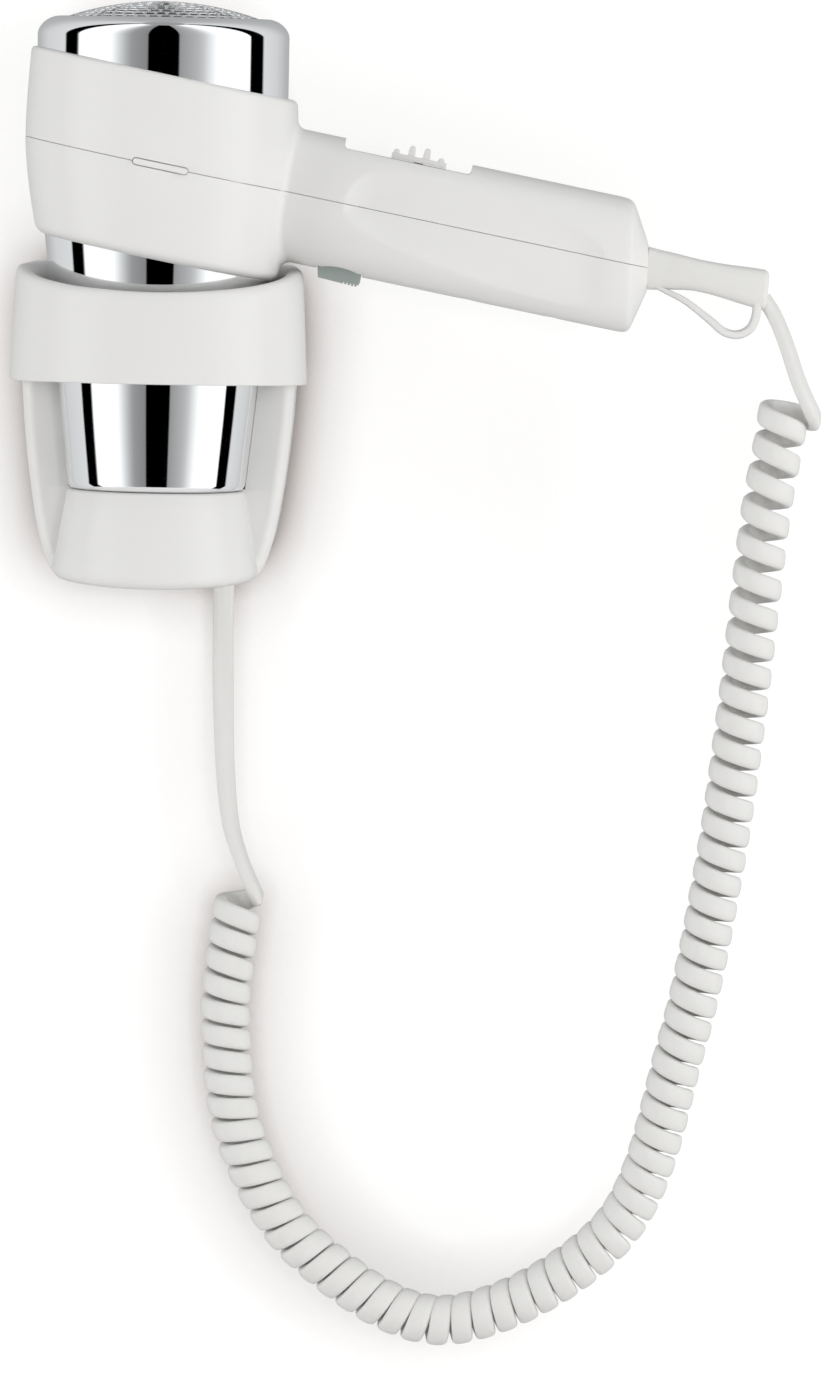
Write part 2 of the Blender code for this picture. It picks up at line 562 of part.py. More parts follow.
def build_holder():
    """Mounting plate, collar, cover with its tray, and what is fixed inside them."""
    holes = []
    plate = add("wall_plate", boxes(((-0.036, 0.036), (-PLATE_THICKNESS, 0), (-0.056, 0.034))), None, WHITE)
    for i, height in enumerate(WALL_SCREW_HEIGHTS):
        hole = add(f"plate_hole_{i + 1}", rod(0.0023, -0.010, 0.010, 12), None, None, (0, 0, height))
        hole.rotation_euler = (math.radians(90), 0, 0)
        holes.append(hole)
        screw = turned(((0.0019, 0.0003), (0.0019, PLATE_THICKNESS + GAP), (0.0040, PLATE_THICKNESS + GAP),
                        (0.0030, PLATE_THICKNESS + 0.0024)), 16)
        made = add(f"wall_screw_{i + 1}", screw, None, STEEL, (0, 0, height))
        made.rotation_euler = (math.radians(90), 0, 0)
    cut(plate, *holes)

    levels = ((0.0, RING_BOTTOM_RADIUS), (RING_HEIGHT - 0.0044, RING_TOP_RADIUS),
              (RING_HEIGHT - 0.0014, RING_TOP_RADIUS - 0.0007), (RING_HEIGHT, RING_TOP_RADIUS - 0.0022))
    outlines = [collar_outline(radius, height) for height, radius in levels]
    collar = add("holder_ring", loft(outlines), None, WHITE)
    funnel = turned(((0.0365, -0.0100), (0.0365, 0.0), (0.0390, 0.0240), (0.0405, RING_HEIGHT - 0.0044),
                     (0.0425, RING_HEIGHT), (0.0430, 0.0500)))
    cut(collar, add("collar_funnel", funnel, None, None, (0, AXIS_Y, 0)),
        add("collar_hollow", boxes(((-0.020, 0.020), (-0.0108, 0.010), (-0.010, 0.0320))), None, None))

    back = -PLATE_THICKNESS - GAP
    loops = []
    for height, half in ((HOLDER_BOTTOM, 0.0320), (-0.0605, 0.0342), (-0.0550, 0.0363), (-0.0470, 0.0383),
                         (-0.0340, 0.0405), (-0.0180, 0.0424), (-GAP, 0.0437)):
        loop = [(half, back)]
        for i in range(6):
            angle = math.pi / 2 * i / 5
            inward, behind = 1 - math.cos(angle), 1 - math.sin(angle)
            loop.append((half - CHEEK_CORNER * inward, CHEEK_FRONT + CHEEK_CORNER * behind))
        loop += [(-x, y) for x, y in loop[::-1]]
        loops.append([(x, y, height) for x, y in loop])
    cover = add("holder_cover", loft(loops), None, WHITE)
    tray = turned(((TRAY_BOTTOM_RADIUS - 0.0020, TRAY_BOTTOM), (TRAY_BOTTOM_RADIUS, TRAY_BOTTOM + 0.0020),
                   (TRAY_TOP_RADIUS, TRAY_TOP)))
    join(cover, add("tray_solid", tray, None, None, (0, AXIS_Y, 0)))
    hollow = [(TRAY_BOTTOM_RADIUS - 0.0030, TRAY_BOTTOM + TRAY_FLOOR)]
    hollow += [(TRAY_TOP_RADIUS - TRAY_LIP, TRAY_TOP - 0.0004)]
    hollow += [(nozzle_radius(z) + NOZZLE_PLAY, z) for z in (TRAY_TOP + 0.0005, 0.0, 0.0100)]
    inner = turned(hollow)
    cut(cover, add("tray_hollow", inner, None, None, (0, AXIS_Y, 0)),
        add("wiring_space", boxes(((-0.030, 0.030), (-0.0165, 0.010), (-0.0580, -0.0040))), None, None),
        add("gland_hole", rod(0.0045, -0.080, -0.050), None, None, (*GLAND, 0)))

    add("terminal_block", boxes(((-0.011, 0.011), (-0.0150, -0.0045), (-0.0360, -0.0220))), None, MICA)
    gland = turned(((0.0042, -0.0590), (0.0042, -0.0627), (0.0056, -0.0629), (0.0044, -0.0651)), 16)
    add("cord_gland", gland, None, CORD_WHITE, (*GLAND, 0))


def build_cord():
    """The flat lead from the holder, the curly stretch as one fat tube, and the lead to the handle."""
    radius = CORD_WIDTH / 2
    tube("cord_lead_holder", smooth_route(LEAD_HOLDER, 0.0100), radius, CORD_WHITE)
    tube("cord_coil", smooth_route(COIL, 0.0120), COIL_DIAMETER / 2, CORD_WHITE)
    tube("cord_lead_dryer", smooth_route(LEAD_DRYER, 0.0060), radius, CORD_WHITE)


clear_scene()
barrel_frame = frame("barrel_frame", (0, AXIS_Y, 0))
handle_frame = frame("handle_frame", (0, AXIS_Y, SEAM_HEIGHT), HANDLE_SLOPE)
build_barrel(barrel_frame)
build_fan_and_motor(barrel_frame)
build_heater(barrel_frame)
build_housing(barrel_frame, handle_frame)
build_controls(handle_frame)
build_relief(handle_frame)
build_holder()
build_cord()
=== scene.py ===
"""Looks of the wall-mounted hair dryer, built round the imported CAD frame.

Everything is in metres in the CAD's frame: the wall is the plane y = 0, +X runs to the right along the
handle and +Z is up. The handle's own axes start where the seam plane crosses the barrel's axis: u along the
handle, w along world Y and v across the seam towards the intake.
"""

import json
import math

import bmesh
import bpy
from mathutils import Matrix, Vector


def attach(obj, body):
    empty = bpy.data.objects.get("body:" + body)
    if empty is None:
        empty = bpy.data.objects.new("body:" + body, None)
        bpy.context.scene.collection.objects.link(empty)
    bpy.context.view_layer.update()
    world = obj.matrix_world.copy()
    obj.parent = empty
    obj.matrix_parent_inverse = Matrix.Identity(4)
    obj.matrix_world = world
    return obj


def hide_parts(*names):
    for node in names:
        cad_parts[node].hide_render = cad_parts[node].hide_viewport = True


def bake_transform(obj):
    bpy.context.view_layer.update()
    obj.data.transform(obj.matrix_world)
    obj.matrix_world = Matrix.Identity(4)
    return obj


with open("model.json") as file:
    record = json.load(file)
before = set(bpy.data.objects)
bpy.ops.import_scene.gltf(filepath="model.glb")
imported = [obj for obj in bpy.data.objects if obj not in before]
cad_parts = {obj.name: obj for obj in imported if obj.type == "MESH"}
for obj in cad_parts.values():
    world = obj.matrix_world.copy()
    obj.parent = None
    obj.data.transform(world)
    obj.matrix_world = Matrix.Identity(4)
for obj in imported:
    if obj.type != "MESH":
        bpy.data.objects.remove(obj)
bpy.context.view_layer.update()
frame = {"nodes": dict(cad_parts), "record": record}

AXIS_Y = -0.054
SEAM_HEIGHT = 0.0693
HANDLE_SLOPE = math.radians(10.85)
BARREL = Matrix.Translation((0, AXIS_Y, 0))
HANDLE = Matrix.Translation((0, AXIS_Y, SEAM_HEIGHT)) @ Matrix.Rotation(HANDLE_SLOPE, 4, "Y")
AROUND = 144

CAP_RADIUS = 0.0400
CAP_BOTTOM = 0.0805
CAP_TOP = 0.1158
CAP_CORNER = 0.0058
CAP_CORNER_POWER = 1.8
CAP_WALL = 0.0016
GRILLE_RADIUS = 0.0331
GRILLE_EDGE = 0.1149
GRILLE_APEX = 0.1210
NOZZLE_TOP = 0.0770
NOZZLE_BOTTOM = -0.0337
NOZZLE_TAPER = 0.106
NOZZLE_WALL = 0.0018

BAND_TOP = 0.02855
BAND_BOTTOM = -0.0292
BAND_TOP_EDGE = 0.0016
BAND_BOTTOM_EDGE = 0.0030
SEAM_HALF_GAP = 0.00007
SEAM_EDGE = 0.00013
HANDLE_HALF_DEPTH = 0.0155
HANDLE_TOP = 0.0203
HANDLE_BOTTOM = -0.0220
HANDLE_ROUNDNESS = 2.6
HANDLE_FILLET = 0.0032
END_SHEAR_FROM = 0.1380
END_SLANT = 0.165
# How much of the full section is left at each distance along the handle's end.
END_SHARES = ((0.1440, 1.0), (0.1490, 0.999), (0.1506, 0.994), (0.1517, 0.983), (0.1525, 0.962),
              (0.1531, 0.930), (0.1536, 0.885), (0.1547, 0.760), (0.1558, 0.630), (0.1569, 0.500),
              (0.1578, 0.390), (0.1582, 0.330))
DISH_DEPTH = 0.0017
DISH_SLOPE = 0.0085
DISH_OUTLINE = ((0.0595, -0.0014), (0.0606, 0.0058), (0.0661, 0.0114), (0.0790, 0.0138), (0.0976, 0.0141),
                (0.1201, 0.0114), (0.1400, 0.0052), (0.1445, -0.0012), (0.1442, -0.0112), (0.1384, -0.0160),
                (0.1260, -0.0166), (0.1037, -0.0147), (0.0761, -0.0100), (0.0625, -0.0047))
TRACK_START = 0.0558
TRACK_END = 0.0970
TRACK_FLOOR = 0.0170
INSERT_LENGTH = 0.0180
INSERT_HEIGHT = 0.0025
INSERT_PLACE = HANDLE @ Matrix.Translation((0.0010, 0, 0))
SCREW_PLACES = (0.1040, 0.1320)
CLEARANCE = 0.0003

SLIDER_CENTRE = 0.0799
SLIDER_TRAVEL = 0.0100
BUTTON_CENTRE = 0.06235
BUTTON_LENGTH = 0.0143
BUTTON_WIDTH = 0.0124
BUTTON_TIP = -0.0252
BUTTON_BACK = -0.0172
SCALLOP_RADIUS = 0.0186
SCALLOP_CENTRE = -0.0388

RING_HEIGHT = 0.0368
RING_FRONT_DROP = 0.0070
RING_FRONT_LIFT = 0.0009
COLLAR_DRAFT = 0.0022
HOLDER_BACK = -0.0043
CHEEK_FRONT = -0.0500
CHEEK_CORNER = 0.0040
TRAY_RADIUS = 0.0328
TRAY_BOW = 0.0016
NOZZLE_PLAY = 0.0004
BUSH_PLACE = Matrix.Translation((0.0211, -0.0112, 0))

CORD_WIDTH = 0.0068
CORD_THICKNESS = 0.0042
COIL_MEAN_RADIUS = 0.0061


# ---- mesh helpers

def place(name, bm, matrix=Matrix.Identity(4), sharp=32):
    """A mesh object in the CAD's frame, shaded smooth but for edges over sharp degrees."""
    bm.transform(matrix)
    bmesh.ops.recalc_face_normals(bm, faces=bm.faces)
    mesh = bpy.data.meshes.new(name)
    bm.to_mesh(mesh)
    bm.free()
    obj = bpy.data.objects.new(name, mesh)
    bpy.context.collection.objects.link(obj)
    mesh.shade_smooth()
    mesh.set_sharp_from_angle(angle=math.radians(sharp))
    return obj


def grid(rows, closed_rows=False, caps=True):
    """Rows of points, each a closed loop, joined side by side."""
    bm = bmesh.new()
    verts = [[bm.verts.new(p) for p in row] for row in rows]
    pairs = list(zip(verts, verts[1:]))
    if closed_rows:
        pairs.append((verts[-1], verts[0]))
    count = len(verts[0])
    for first, second in pairs:
        for i in range(count):
            j = (i + 1) % count
            bm.faces.new((first[i], first[j], second[j], second[i]))
    if caps and not closed_rows:
        bm.faces.new(verts[0])
        bm.faces.new(verts[-1])
    return bm


def turned(profile, around=AROUND, closed=True):
    """(radius, height) points turned about Z."""
    turns = [2 * math.pi * i / around for i in range(around)]
    rows = [[(radius * math.cos(a), radius * math.sin(a), height) for a in turns]
            for radius, height in profile]
    return grid(rows, closed_rows=closed)


def arc(centre, radius, start, end, steps=6):
    """Points on a circle from start to end degrees."""
    points = []
    for i in range(steps + 1):
        angle = math.radians(start + (end - start) * i / steps)
        points.append((centre[0] + radius * math.cos(angle), centre[1] + radius * math.sin(angle)))
    return points


def box(x, y, z):
    bm = bmesh.new()
    centre = Vector(((x[0] + x[1]) / 2, (y[0] + y[1]) / 2, (z[0] + z[1]) / 2))
    size = Matrix.Diagonal((x[1] - x[0], y[1] - y[0], z[1] - z[0], 1.0))
    bmesh.ops.create_cube(bm, size=1.0, matrix=Matrix.Translation(centre) @ size)
    return bm


def round_edges(obj, width, segments=3, angle=35):
    bevel = obj.modifiers.new("rounded", "BEVEL")
    bevel.width = width
    bevel.segments = segments
    bevel.limit_method = "ANGLE"
    bevel.angle_limit = math.radians(angle)
    bevel.harden_normals = False
    return obj


def apply_modifiers(obj, sharp=32):
    """Fixes what the modifiers make, so that nothing is left to evaluate."""
    bpy.context.view_layer.update()
    evaluated = obj.evaluated_get(bpy.context.evaluated_depsgraph_get())
    mesh = bpy.data.meshes.new_from_object(evaluated)
    obj.modifiers.clear()
    obj.data = mesh
    mesh.shade_smooth()
    mesh.set_sharp_from_angle(angle=math.radians(sharp))
    return obj


def combine(obj, operation, others, sharp=32):
    """Boolean with each of others in turn, which are then removed."""
    for other in others:
        boolean = obj.modifiers.new("cut", "BOOLEAN")
        boolean.operation = operation
        boolean.solver = "EXACT"
        boolean.object = other
    apply_modifiers(obj, sharp)
    for other in others:
        bpy.data.objects.remove(other, do_unlink=True)
    return obj


def superellipse(half_width, half_height, power, start, end, steps):
    """Points on a squared-off ellipse from start to end degrees; power 2 is a plain ellipse."""
    points = []
    for i in range(steps + 1):
        angle = math.radians(start + (end - start) * i / steps)
        c, s = math.cos(angle), math.sin(angle)
        points.append((half_width * math.copysign(abs(c) ** (2 / power), c),
                       half_height * math.copysign(abs(s) ** (2 / power), s)))
    return points


def nozzle_radius(height):
    return CAP_RADIUS - (NOZZLE_TOP - height) * NOZZLE_TAPER


def spline_span(a, b, c, d, steps):
    """Catmull-Rom points from b up to, but not with, c."""
    points = []
    for i in range(steps):
        t = i / steps
        points.append(0.5 * (2 * b + (c - a) * t + (2 * a - 5 * b + 4 * c - d) * t ** 2
                             + (3 * b - a - 3 * c + d) * t ** 3))
    return points


def catmull_rom(points, per_span):
    """An open smooth curve through the points."""
    given = [Vector(p) for p in points]
    given = [2 * given[0] - given[1]] + given + [2 * given[-1] - given[-2]]
    fine = []
    for span in zip(given, given[1:], given[2:], given[3:]):
        fine += spline_span(*span, per_span)
    return fine + [given[-2]]


def smoothstep(x):
    x = min(1.0, max(0.0, x))
    return x * x * (3 - 2 * x)


# ---- materials

def principled(name, colour, roughness, metallic=0.0, specular=0.5):
    made = bpy.data.materials.new(name)
    made.use_nodes = True
    shader = made.node_tree.nodes["Principled BSDF"]
    shader.inputs["Base Color"].default_value = (*colour, 1.0)
    shader.inputs["Roughness"].default_value = roughness
    shader.inputs["Metallic"].default_value = metallic
    shader.inputs["Specular IOR Level"].default_value = specular
    return made, made.node_tree, shader


def noise(tree, scale, detail=3.0, stretch=(1, 1, 1)):
    """Noise over the object's own coordinates, in cells of 1 / scale metres."""
    nodes, links = tree.nodes, tree.links
    coordinates = nodes.new("ShaderNodeTexCoord")
    mapping = nodes.new("ShaderNodeMapping")
    mapping.inputs["Scale"].default_value = stretch
    texture = nodes.new("ShaderNodeTexNoise")
    texture.inputs["Scale"].default_value = scale
    texture.inputs["Detail"].default_value = detail
    links.new(coordinates.outputs["Object"], mapping.inputs["Vector"])
    links.new(mapping.outputs["Vector"], texture.inputs["Vector"])
    return texture.outputs["Fac"]


def ranged(tree, value, low, high):
    node = tree.nodes.new("ShaderNodeMapRange")
    node.inputs["From Min"].default_value = 0.3
    node.inputs["From Max"].default_value = 0.7
    node.inputs["To Min"].default_value = low
    node.inputs["To Max"].default_value = high
    tree.links.new(value, node.inputs["Value"])
    return node.outputs["Result"]


def tinted(tree, shader, value, first, second):
    """Base colour that wanders between two near tones."""
    mix = tree.nodes.new("ShaderNodeMix")
    mix.data_type = "RGBA"
    mix.inputs["A"].default_value = (*first, 1.0)
    mix.inputs["B"].default_value = (*second, 1.0)
    tree.links.new(value, mix.inputs["Factor"])
    tree.links.new(mix.outputs["Result"], shader.inputs["Base Color"])


def bumped(tree, shader, value, strength, distance):
    bump = tree.nodes.new("ShaderNodeBump")
    bump.inputs["Strength"].default_value = strength
    bump.inputs["Distance"].default_value = distance
    tree.links.new(value, bump.inputs["Height"])
    tree.links.new(bump.outputs["Normal"], shader.inputs["Normal"])


def gloss_white(name, tone=1.0):
    """Injection-moulded gloss plastic: near-white, with the faint waviness and haze of a moulded skin."""
    light = (0.71 * tone, 0.705 * tone, 0.693 * tone)
    made, tree, shader = principled(name, light, 0.32)
    tinted(tree, shader, noise(tree, 24, 2), light, (0.70 * tone, 0.694 * tone, 0.681 * tone))
    tree.links.new(ranged(tree, noise(tree, 300, 2), 0.29, 0.34), shader.inputs["Roughness"])
    bumped(tree, shader, noise(tree, 260, 1), 0.10, 0.00002)
    return made


def plated_chrome():
    """Chrome plating on moulded plastic: mirror-bright, with hair-fine wiping marks."""
    made, tree, shader = principled("chrome_plating", (0.93, 0.935, 0.94), 0.04, metallic=1.0)
    tree.links.new(ranged(tree, noise(tree, 260, 4, (1, 1, 0.15)), 0.025, 0.06), shader.inputs["Roughness"])
    tinted(tree, shader, noise(tree, 40, 2), (0.93, 0.935, 0.94), (0.89, 0.90, 0.91))
    return made


def cord_vinyl():
    """Matt, slightly dusty flexible vinyl."""
    made, tree, shader = principled("cord_vinyl", (0.70, 0.695, 0.68), 0.42, specular=0.4)
    tinted(tree, shader, noise(tree, 240, 3), (0.70, 0.695, 0.68), (0.672, 0.667, 0.65))
    tree.links.new(ranged(tree, noise(tree, 700, 3), 0.42, 0.56), shader.inputs["Roughness"])
    bumped(tree, shader, noise(tree, 900, 3), 0.15, 0.00005)
    return made


def matt_plastic(name, first, second, roughness=0.5):
    made, tree, shader = principled(name, first, roughness)
    tinted(tree, shader, noise(tree, 180, 3), first, second)
    bumped(tree, shader, noise(tree, 2600, 2), 0.35, 0.00005)
    return made


def drawn_metal(name, first, second, roughness=0.3):
    made, tree, shader = principled(name, first, roughness, metallic=1.0)
    tinted(tree, shader, noise(tree, 300, 3, (1, 1, 8)), first, second)
    tree.links.new(ranged(tree, noise(tree, 900, 3, (1, 1, 10)), roughness * 0.8, roughness * 1.3),
                   shader.inputs["Roughness"])
    return made


def woven_wire():
    """Fine steel mesh, as an opaque disc with the weave in its relief and tone."""
    made, tree, shader = principled("woven_wire", (0.30, 0.30, 0.31), 0.4, metallic=1.0)
    nodes, links = tree.nodes, tree.links
    coordinates = nodes.new("ShaderNodeTexCoord")
    waves = []
    for axis in ("X", "Y"):
        wave = nodes.new("ShaderNodeTexWave")
        wave.bands_direction = axis
        wave.inputs["Scale"].default_value = 330
        links.new(coordinates.outputs["Object"], wave.inputs["Vector"])
        waves.append(wave.outputs["Fac"])
    most = nodes.new("ShaderNodeMath")
    most.operation = "MAXIMUM"
    links.new(waves[0], most.inputs[0])
    links.new(waves[1], most.inputs[1])
    tinted(tree, shader, most.outputs[0], (0.01, 0.01, 0.01), (0.09, 0.09, 0.093))
    bumped(tree, shader, most.outputs[0], 0.6, 0.0002)
    return made


WHITE = gloss_white("moulded_white")
HOLDER_WHITE = gloss_white("moulded_white_holder", 0.985)
CHROME = plated_chrome()
VINYL = cord_vinyl()
BUTTON_GREY = matt_plastic("button_grey_green", (0.32, 0.36, 0.345), (0.28, 0.32, 0.305), 0.36)
DARK = matt_plastic("dark_nylon", (0.035, 0.035, 0.038), (0.05, 0.05, 0.052))
TERMINAL = matt_plastic("terminal_nylon", (0.72, 0.70, 0.65), (0.66, 0.64, 0.59))
MICA = matt_plastic("pressed_mica", (0.62, 0.50, 0.34), (0.48, 0.37, 0.24), 0.4)
BOARD = matt_plastic("board_green", (0.04, 0.20, 0.10), (0.03, 0.15, 0.08), 0.35)
STEEL = drawn_metal("plated_steel", (0.58, 0.58, 0.60), (0.45, 0.45, 0.47))
WIRE = drawn_metal("resistance_wire", (0.36, 0.33, 0.31), (0.25, 0.23, 0.22), 0.4)
SCREEN = woven_wire()

SLOT_MATERIALS = {"chrome": CHROME, "white_plastic": WHITE, "cord_white": VINYL, "button_grey": BUTTON_GREY,
                  "dark_plastic": DARK, "terminal_plastic": TERMINAL, "mica": MICA, "steel": STEEL,
                  "heater_wire": WIRE, "circuit_board": BOARD}


def finish_piece(obj, material, body, slot, *nodes):
    """Material, body and the CAD nodes that the piece stands for; the slot argument is not used."""
    obj.data.materials.clear()
    obj.data.materials.append(material)
    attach(obj, body)
    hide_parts(*nodes)
    return obj


# ---- barrel

def make_cap():
    """The rear cap: an even wall that turns in to the grille over a soft shoulder."""
    lip = GRILLE_RADIUS + 0.0002
    deep = CAP_RADIUS - lip
    shoulder = CAP_TOP - CAP_CORNER
    profile = [(CAP_RADIUS, CAP_BOTTOM), (CAP_RADIUS, (CAP_BOTTOM + shoulder) / 2)]
    profile += [(lip + deep * x, shoulder + CAP_CORNER * z)
                for x, z in superellipse(1, 1, CAP_CORNER_POWER, 0, 89, 16)]
    profile += [(lip, CAP_TOP - 0.0003), (lip, CAP_TOP - CAP_WALL)]
    profile += [(lip + (deep - CAP_WALL) * x, shoulder + (CAP_CORNER - CAP_WALL) * z)
                for x, z in superellipse(1, 1, CAP_CORNER_POWER, 84, 0, 8)]
    profile += [(CAP_RADIUS - CAP_WALL, CAP_BOTTOM)]
    cap = place("rear_cap_chrome", turned(profile), BARREL)
    finish_piece(cap, CHROME, "dryer", "chrome", "rear_cap")


def dome_height(radius):
    return GRILLE_EDGE + (GRILLE_APEX - GRILLE_EDGE) * (1 - (radius / GRILLE_RADIUS) ** 2)


def make_grille():
    """A shallow dome with nine rows of short slots, each row turned half a slot against the last."""
    around, rings, slot_share = 240, 32, 0.74
    slots_per_row = (48, 48, 40, 40, 30, 30, 24, 15, 10)
    turns = [2 * math.pi * i / around for i in range(around)]
    bm = bmesh.new()
    verts = []
    for radius in (GRILLE_RADIUS * (1 - i / rings) for i in range(rings)):
        height = dome_height(radius)
        verts.append([bm.verts.new((radius * math.cos(a), radius * math.sin(a), height)) for a in turns])
    apex = bm.verts.new((0, 0, GRILLE_APEX))
    row_of_ring = {}
    for row in range(len(slots_per_row)):
        row_of_ring[2 + 3 * row] = row_of_ring[3 + 3 * row] = row
    for ring in range(rings - 1):
        row = row_of_ring.get(ring)
        for i in range(around):
            if row is not None:
                share = (i / around * slots_per_row[row] + 0.5 * (row % 2)) % 1.0
                if share < slot_share:
                    continue
            j = (i + 1) % around
            bm.faces.new((verts[ring][i], verts[ring][j], verts[ring + 1][j], verts[ring + 1][i]))
    for i in range(around):
        bm.faces.new((verts[-1][i], verts[-1][(i + 1) % around], apex))
    loose = [v for v in bm.verts if not v.link_faces]
    bmesh.ops.delete(bm, geom=loose, context="VERTS")
    grille = place("intake_grille_slotted", bm, BARREL, 40)
    thick = grille.modifiers.new("thickness", "SOLIDIFY")
    thick.thickness = 0.0010
    thick.offset = -1
    round_edges(grille, 0.00012, 2, 50)
    apply_modifiers(grille, 50)
    finish_piece(grille, CHROME, "dryer", "chrome", "intake_grille")


def make_nozzle():
    """The tapered nozzle with a small rolled lip."""
    low = NOZZLE_BOTTOM + 0.0018
    outer = nozzle_radius(low)
    profile = [(nozzle_radius(z), z) for z in (NOZZLE_TOP, 0.050, 0.020, -0.010, low)]
    profile += [(outer - 0.0003, low - 0.0010), (outer - 0.0009, NOZZLE_BOTTOM - 0.0001),
                (outer - 0.0016, NOZZLE_BOTTOM - 0.0004), (outer - 0.0021, NOZZLE_BOTTOM), (0.0266, low)]
    profile += [(nozzle_radius(z) - NOZZLE_WALL, z) for z in (-0.010, 0.020, 0.050, NOZZLE_TOP)]
    nozzle = place("nozzle_chrome", turned(profile), BARREL)
    finish_piece(nozzle, CHROME, "dryer", "chrome", "front_barrel")


# ---- housing

BAND_PROFILE = ((0.0200, 0.0362), (0.0300, 0.0372), (0.0372, 0.0383), (0.0470, 0.0396), (0.0600, 0.0418),
                (0.0700, 0.0430), (0.0780, 0.0434), (0.0900, 0.0430), (0.1064, 0.0418), (0.1200, 0.0404))


def band_radius(height):
    """Outer radius of the band by height, a smooth curve through its profile."""
    points = BAND_PROFILE
    if height <= points[0][0]:
        return points[0][1]
    for i in range(len(points) - 1):
        (z0, r0), (z1, r1) = points[i], points[i + 1]
        if height <= z1:
            before = points[max(i - 1, 0)]
            after = points[min(i + 2, len(points) - 1)]
            span = z1 - z0
            slope0 = (r1 - before[1]) / (z1 - before[0]) * span
            slope1 = (after[1] - r0) / (after[0] - z0) * span
            t = (height - z0) / span
            return ((2 * t ** 3 - 3 * t ** 2 + 1) * r0 + (t ** 3 - 2 * t ** 2 + t) * slope0
                    + (3 * t ** 2 - 2 * t ** 3) * r1 + (t ** 3 - t ** 2) * slope1)
    return points[-1][1]


def band_point(angle, across, inset=0.0, bore=False):
    """Point of the band at an angle round the barrel and a height across the seam plane, in barrel axes."""
    height = SEAM_HEIGHT
    for _ in range(6):
        radius = CAP_RADIUS + 0.0004 if bore else band_radius(height) - inset
        if bore and height < NOZZLE_TOP:
            radius = nozzle_radius(height) + 0.0004
        along = radius * math.cos(angle)
        height = SEAM_HEIGHT + (across - along * math.sin(HANDLE_SLOPE)) / math.cos(HANDLE_SLOPE)
    return (radius * math.cos(angle), radius * math.sin(angle), height)


def band_half(sign):
    """One shell's share of the band: sign +1 from the seam up, -1 from the seam down."""
    edge = BAND_TOP if sign > 0 else -BAND_BOTTOM
    corner = BAND_TOP_EDGE if sign > 0 else BAND_BOTTOM_EDGE
    stations = [(SEAM_HALF_GAP, 0.0004, False), (SEAM_HALF_GAP, SEAM_EDGE, False)]
    for i in range(1, 4):
        angle = math.pi / 2 * i / 3
        across = SEAM_HALF_GAP + SEAM_EDGE * (1 - math.cos(angle))
        stations.append((across, SEAM_EDGE * (1 - math.sin(angle)), False))
    plain = SEAM_HALF_GAP + SEAM_EDGE
    stations += [(plain + (edge - corner - plain) * i / 16, 0.0, False) for i in range(1, 17)]
    for i in range(1, 8):
        angle = math.pi / 2 * i / 7
        stations.append((edge - corner + corner * math.sin(angle), corner * (1 - math.cos(angle)), False))
    stations += [(edge, corner + 0.0002, False)]
    stations += [(edge - 0.0001, 0.0, True)]
    stations += [(edge * share, 0.0, True) for share in (0.75, 0.5, 0.25)]
    stations += [(SEAM_HALF_GAP, 0.0, True)]
    turns = [2 * math.pi * i / AROUND for i in range(AROUND)]
    rows = [[band_point(turn, sign * across, inset, bore) for turn in turns]
            for across, inset, bore in stations]
    return grid(rows, closed_rows=True)


def closed_curve(points, per_span=8):
    """A smooth curve through a ring of points in a plane."""
    count = len(points)
    fine = []
    for k in range(count):
        fine += spline_span(*(Vector(points[(k + i) % count]) for i in (-1, 0, 1, 2)), per_span)
    return fine


DISH = closed_curve(DISH_OUTLINE)


def dish_depth(along, across):
    """Depth of the leaf-shaped grip hollow on the handle's sides."""
    if not 0.058 < along < 0.147 or abs(across) > 0.0185:
        return 0.0
    inside, nearest = False, 1.0
    for k in range(len(DISH)):
        (x0, y0), (x1, y1) = DISH[k], DISH[(k + 1) % len(DISH)]
        if (y0 > across) != (y1 > across) and along < x0 + (x1 - x0) * (across - y0) / (y1 - y0):
            inside = not inside
        dx, dy = x1 - x0, y1 - y0
        t = min(1.0, max(0.0, ((along - x0) * dx + (across - y0) * dy) / (dx * dx + dy * dy)))
        nearest = min(nearest, math.hypot(along - x0 - dx * t, across - y0 - dy * t))
    if not inside:
        return 0.0
    return DISH_DEPTH * (1 - (1 - min(1.0, nearest / DISH_SLOPE)) ** 2)


def band_gap(point):
    """How far a point in handle axes lies outside the band."""
    p = Matrix.Rotation(HANDLE_SLOPE, 3, "Y") @ Vector(point)
    return math.hypot(p.x, p.y) - band_radius(p.z + SEAM_HEIGHT)


def band_normal(point):
    """Outward direction of the band nearest a point in handle axes."""
    step = 0.0002
    slope = []
    for axis in range(3):
        ahead, behind = list(point), list(point)
        ahead[axis] += step
        behind[axis] -= step
        slope.append(band_gap(ahead) - band_gap(behind))
    return Vector(slope).normalized()


def grip_outline(sign):
    """(w, v) points of half the handle's section, from +w round to -w, with the seam's soft edge."""
    height = HANDLE_TOP if sign > 0 else -HANDLE_BOTTOM
    outline = []
    for across, up in superellipse(HANDLE_HALF_DEPTH, height, HANDLE_ROUNDNESS, 0, 180, 96):
        if up > SEAM_HALF_GAP + SEAM_EDGE * 1.2:
            outline.append((across, up))
    soft = [(HANDLE_HALF_DEPTH - SEAM_EDGE, SEAM_HALF_GAP)]
    for i in range(1, 4):
        angle = math.pi / 2 * i / 3
        soft.append((HANDLE_HALF_DEPTH - SEAM_EDGE * (1 - math.sin(angle)),
                     SEAM_HALF_GAP + SEAM_EDGE * (1 - math.cos(angle))))
    outline = soft + outline + [(-w, v) for w, v in soft[::-1]]
    return [Vector((0, w, sign * v)) for w, v in outline]


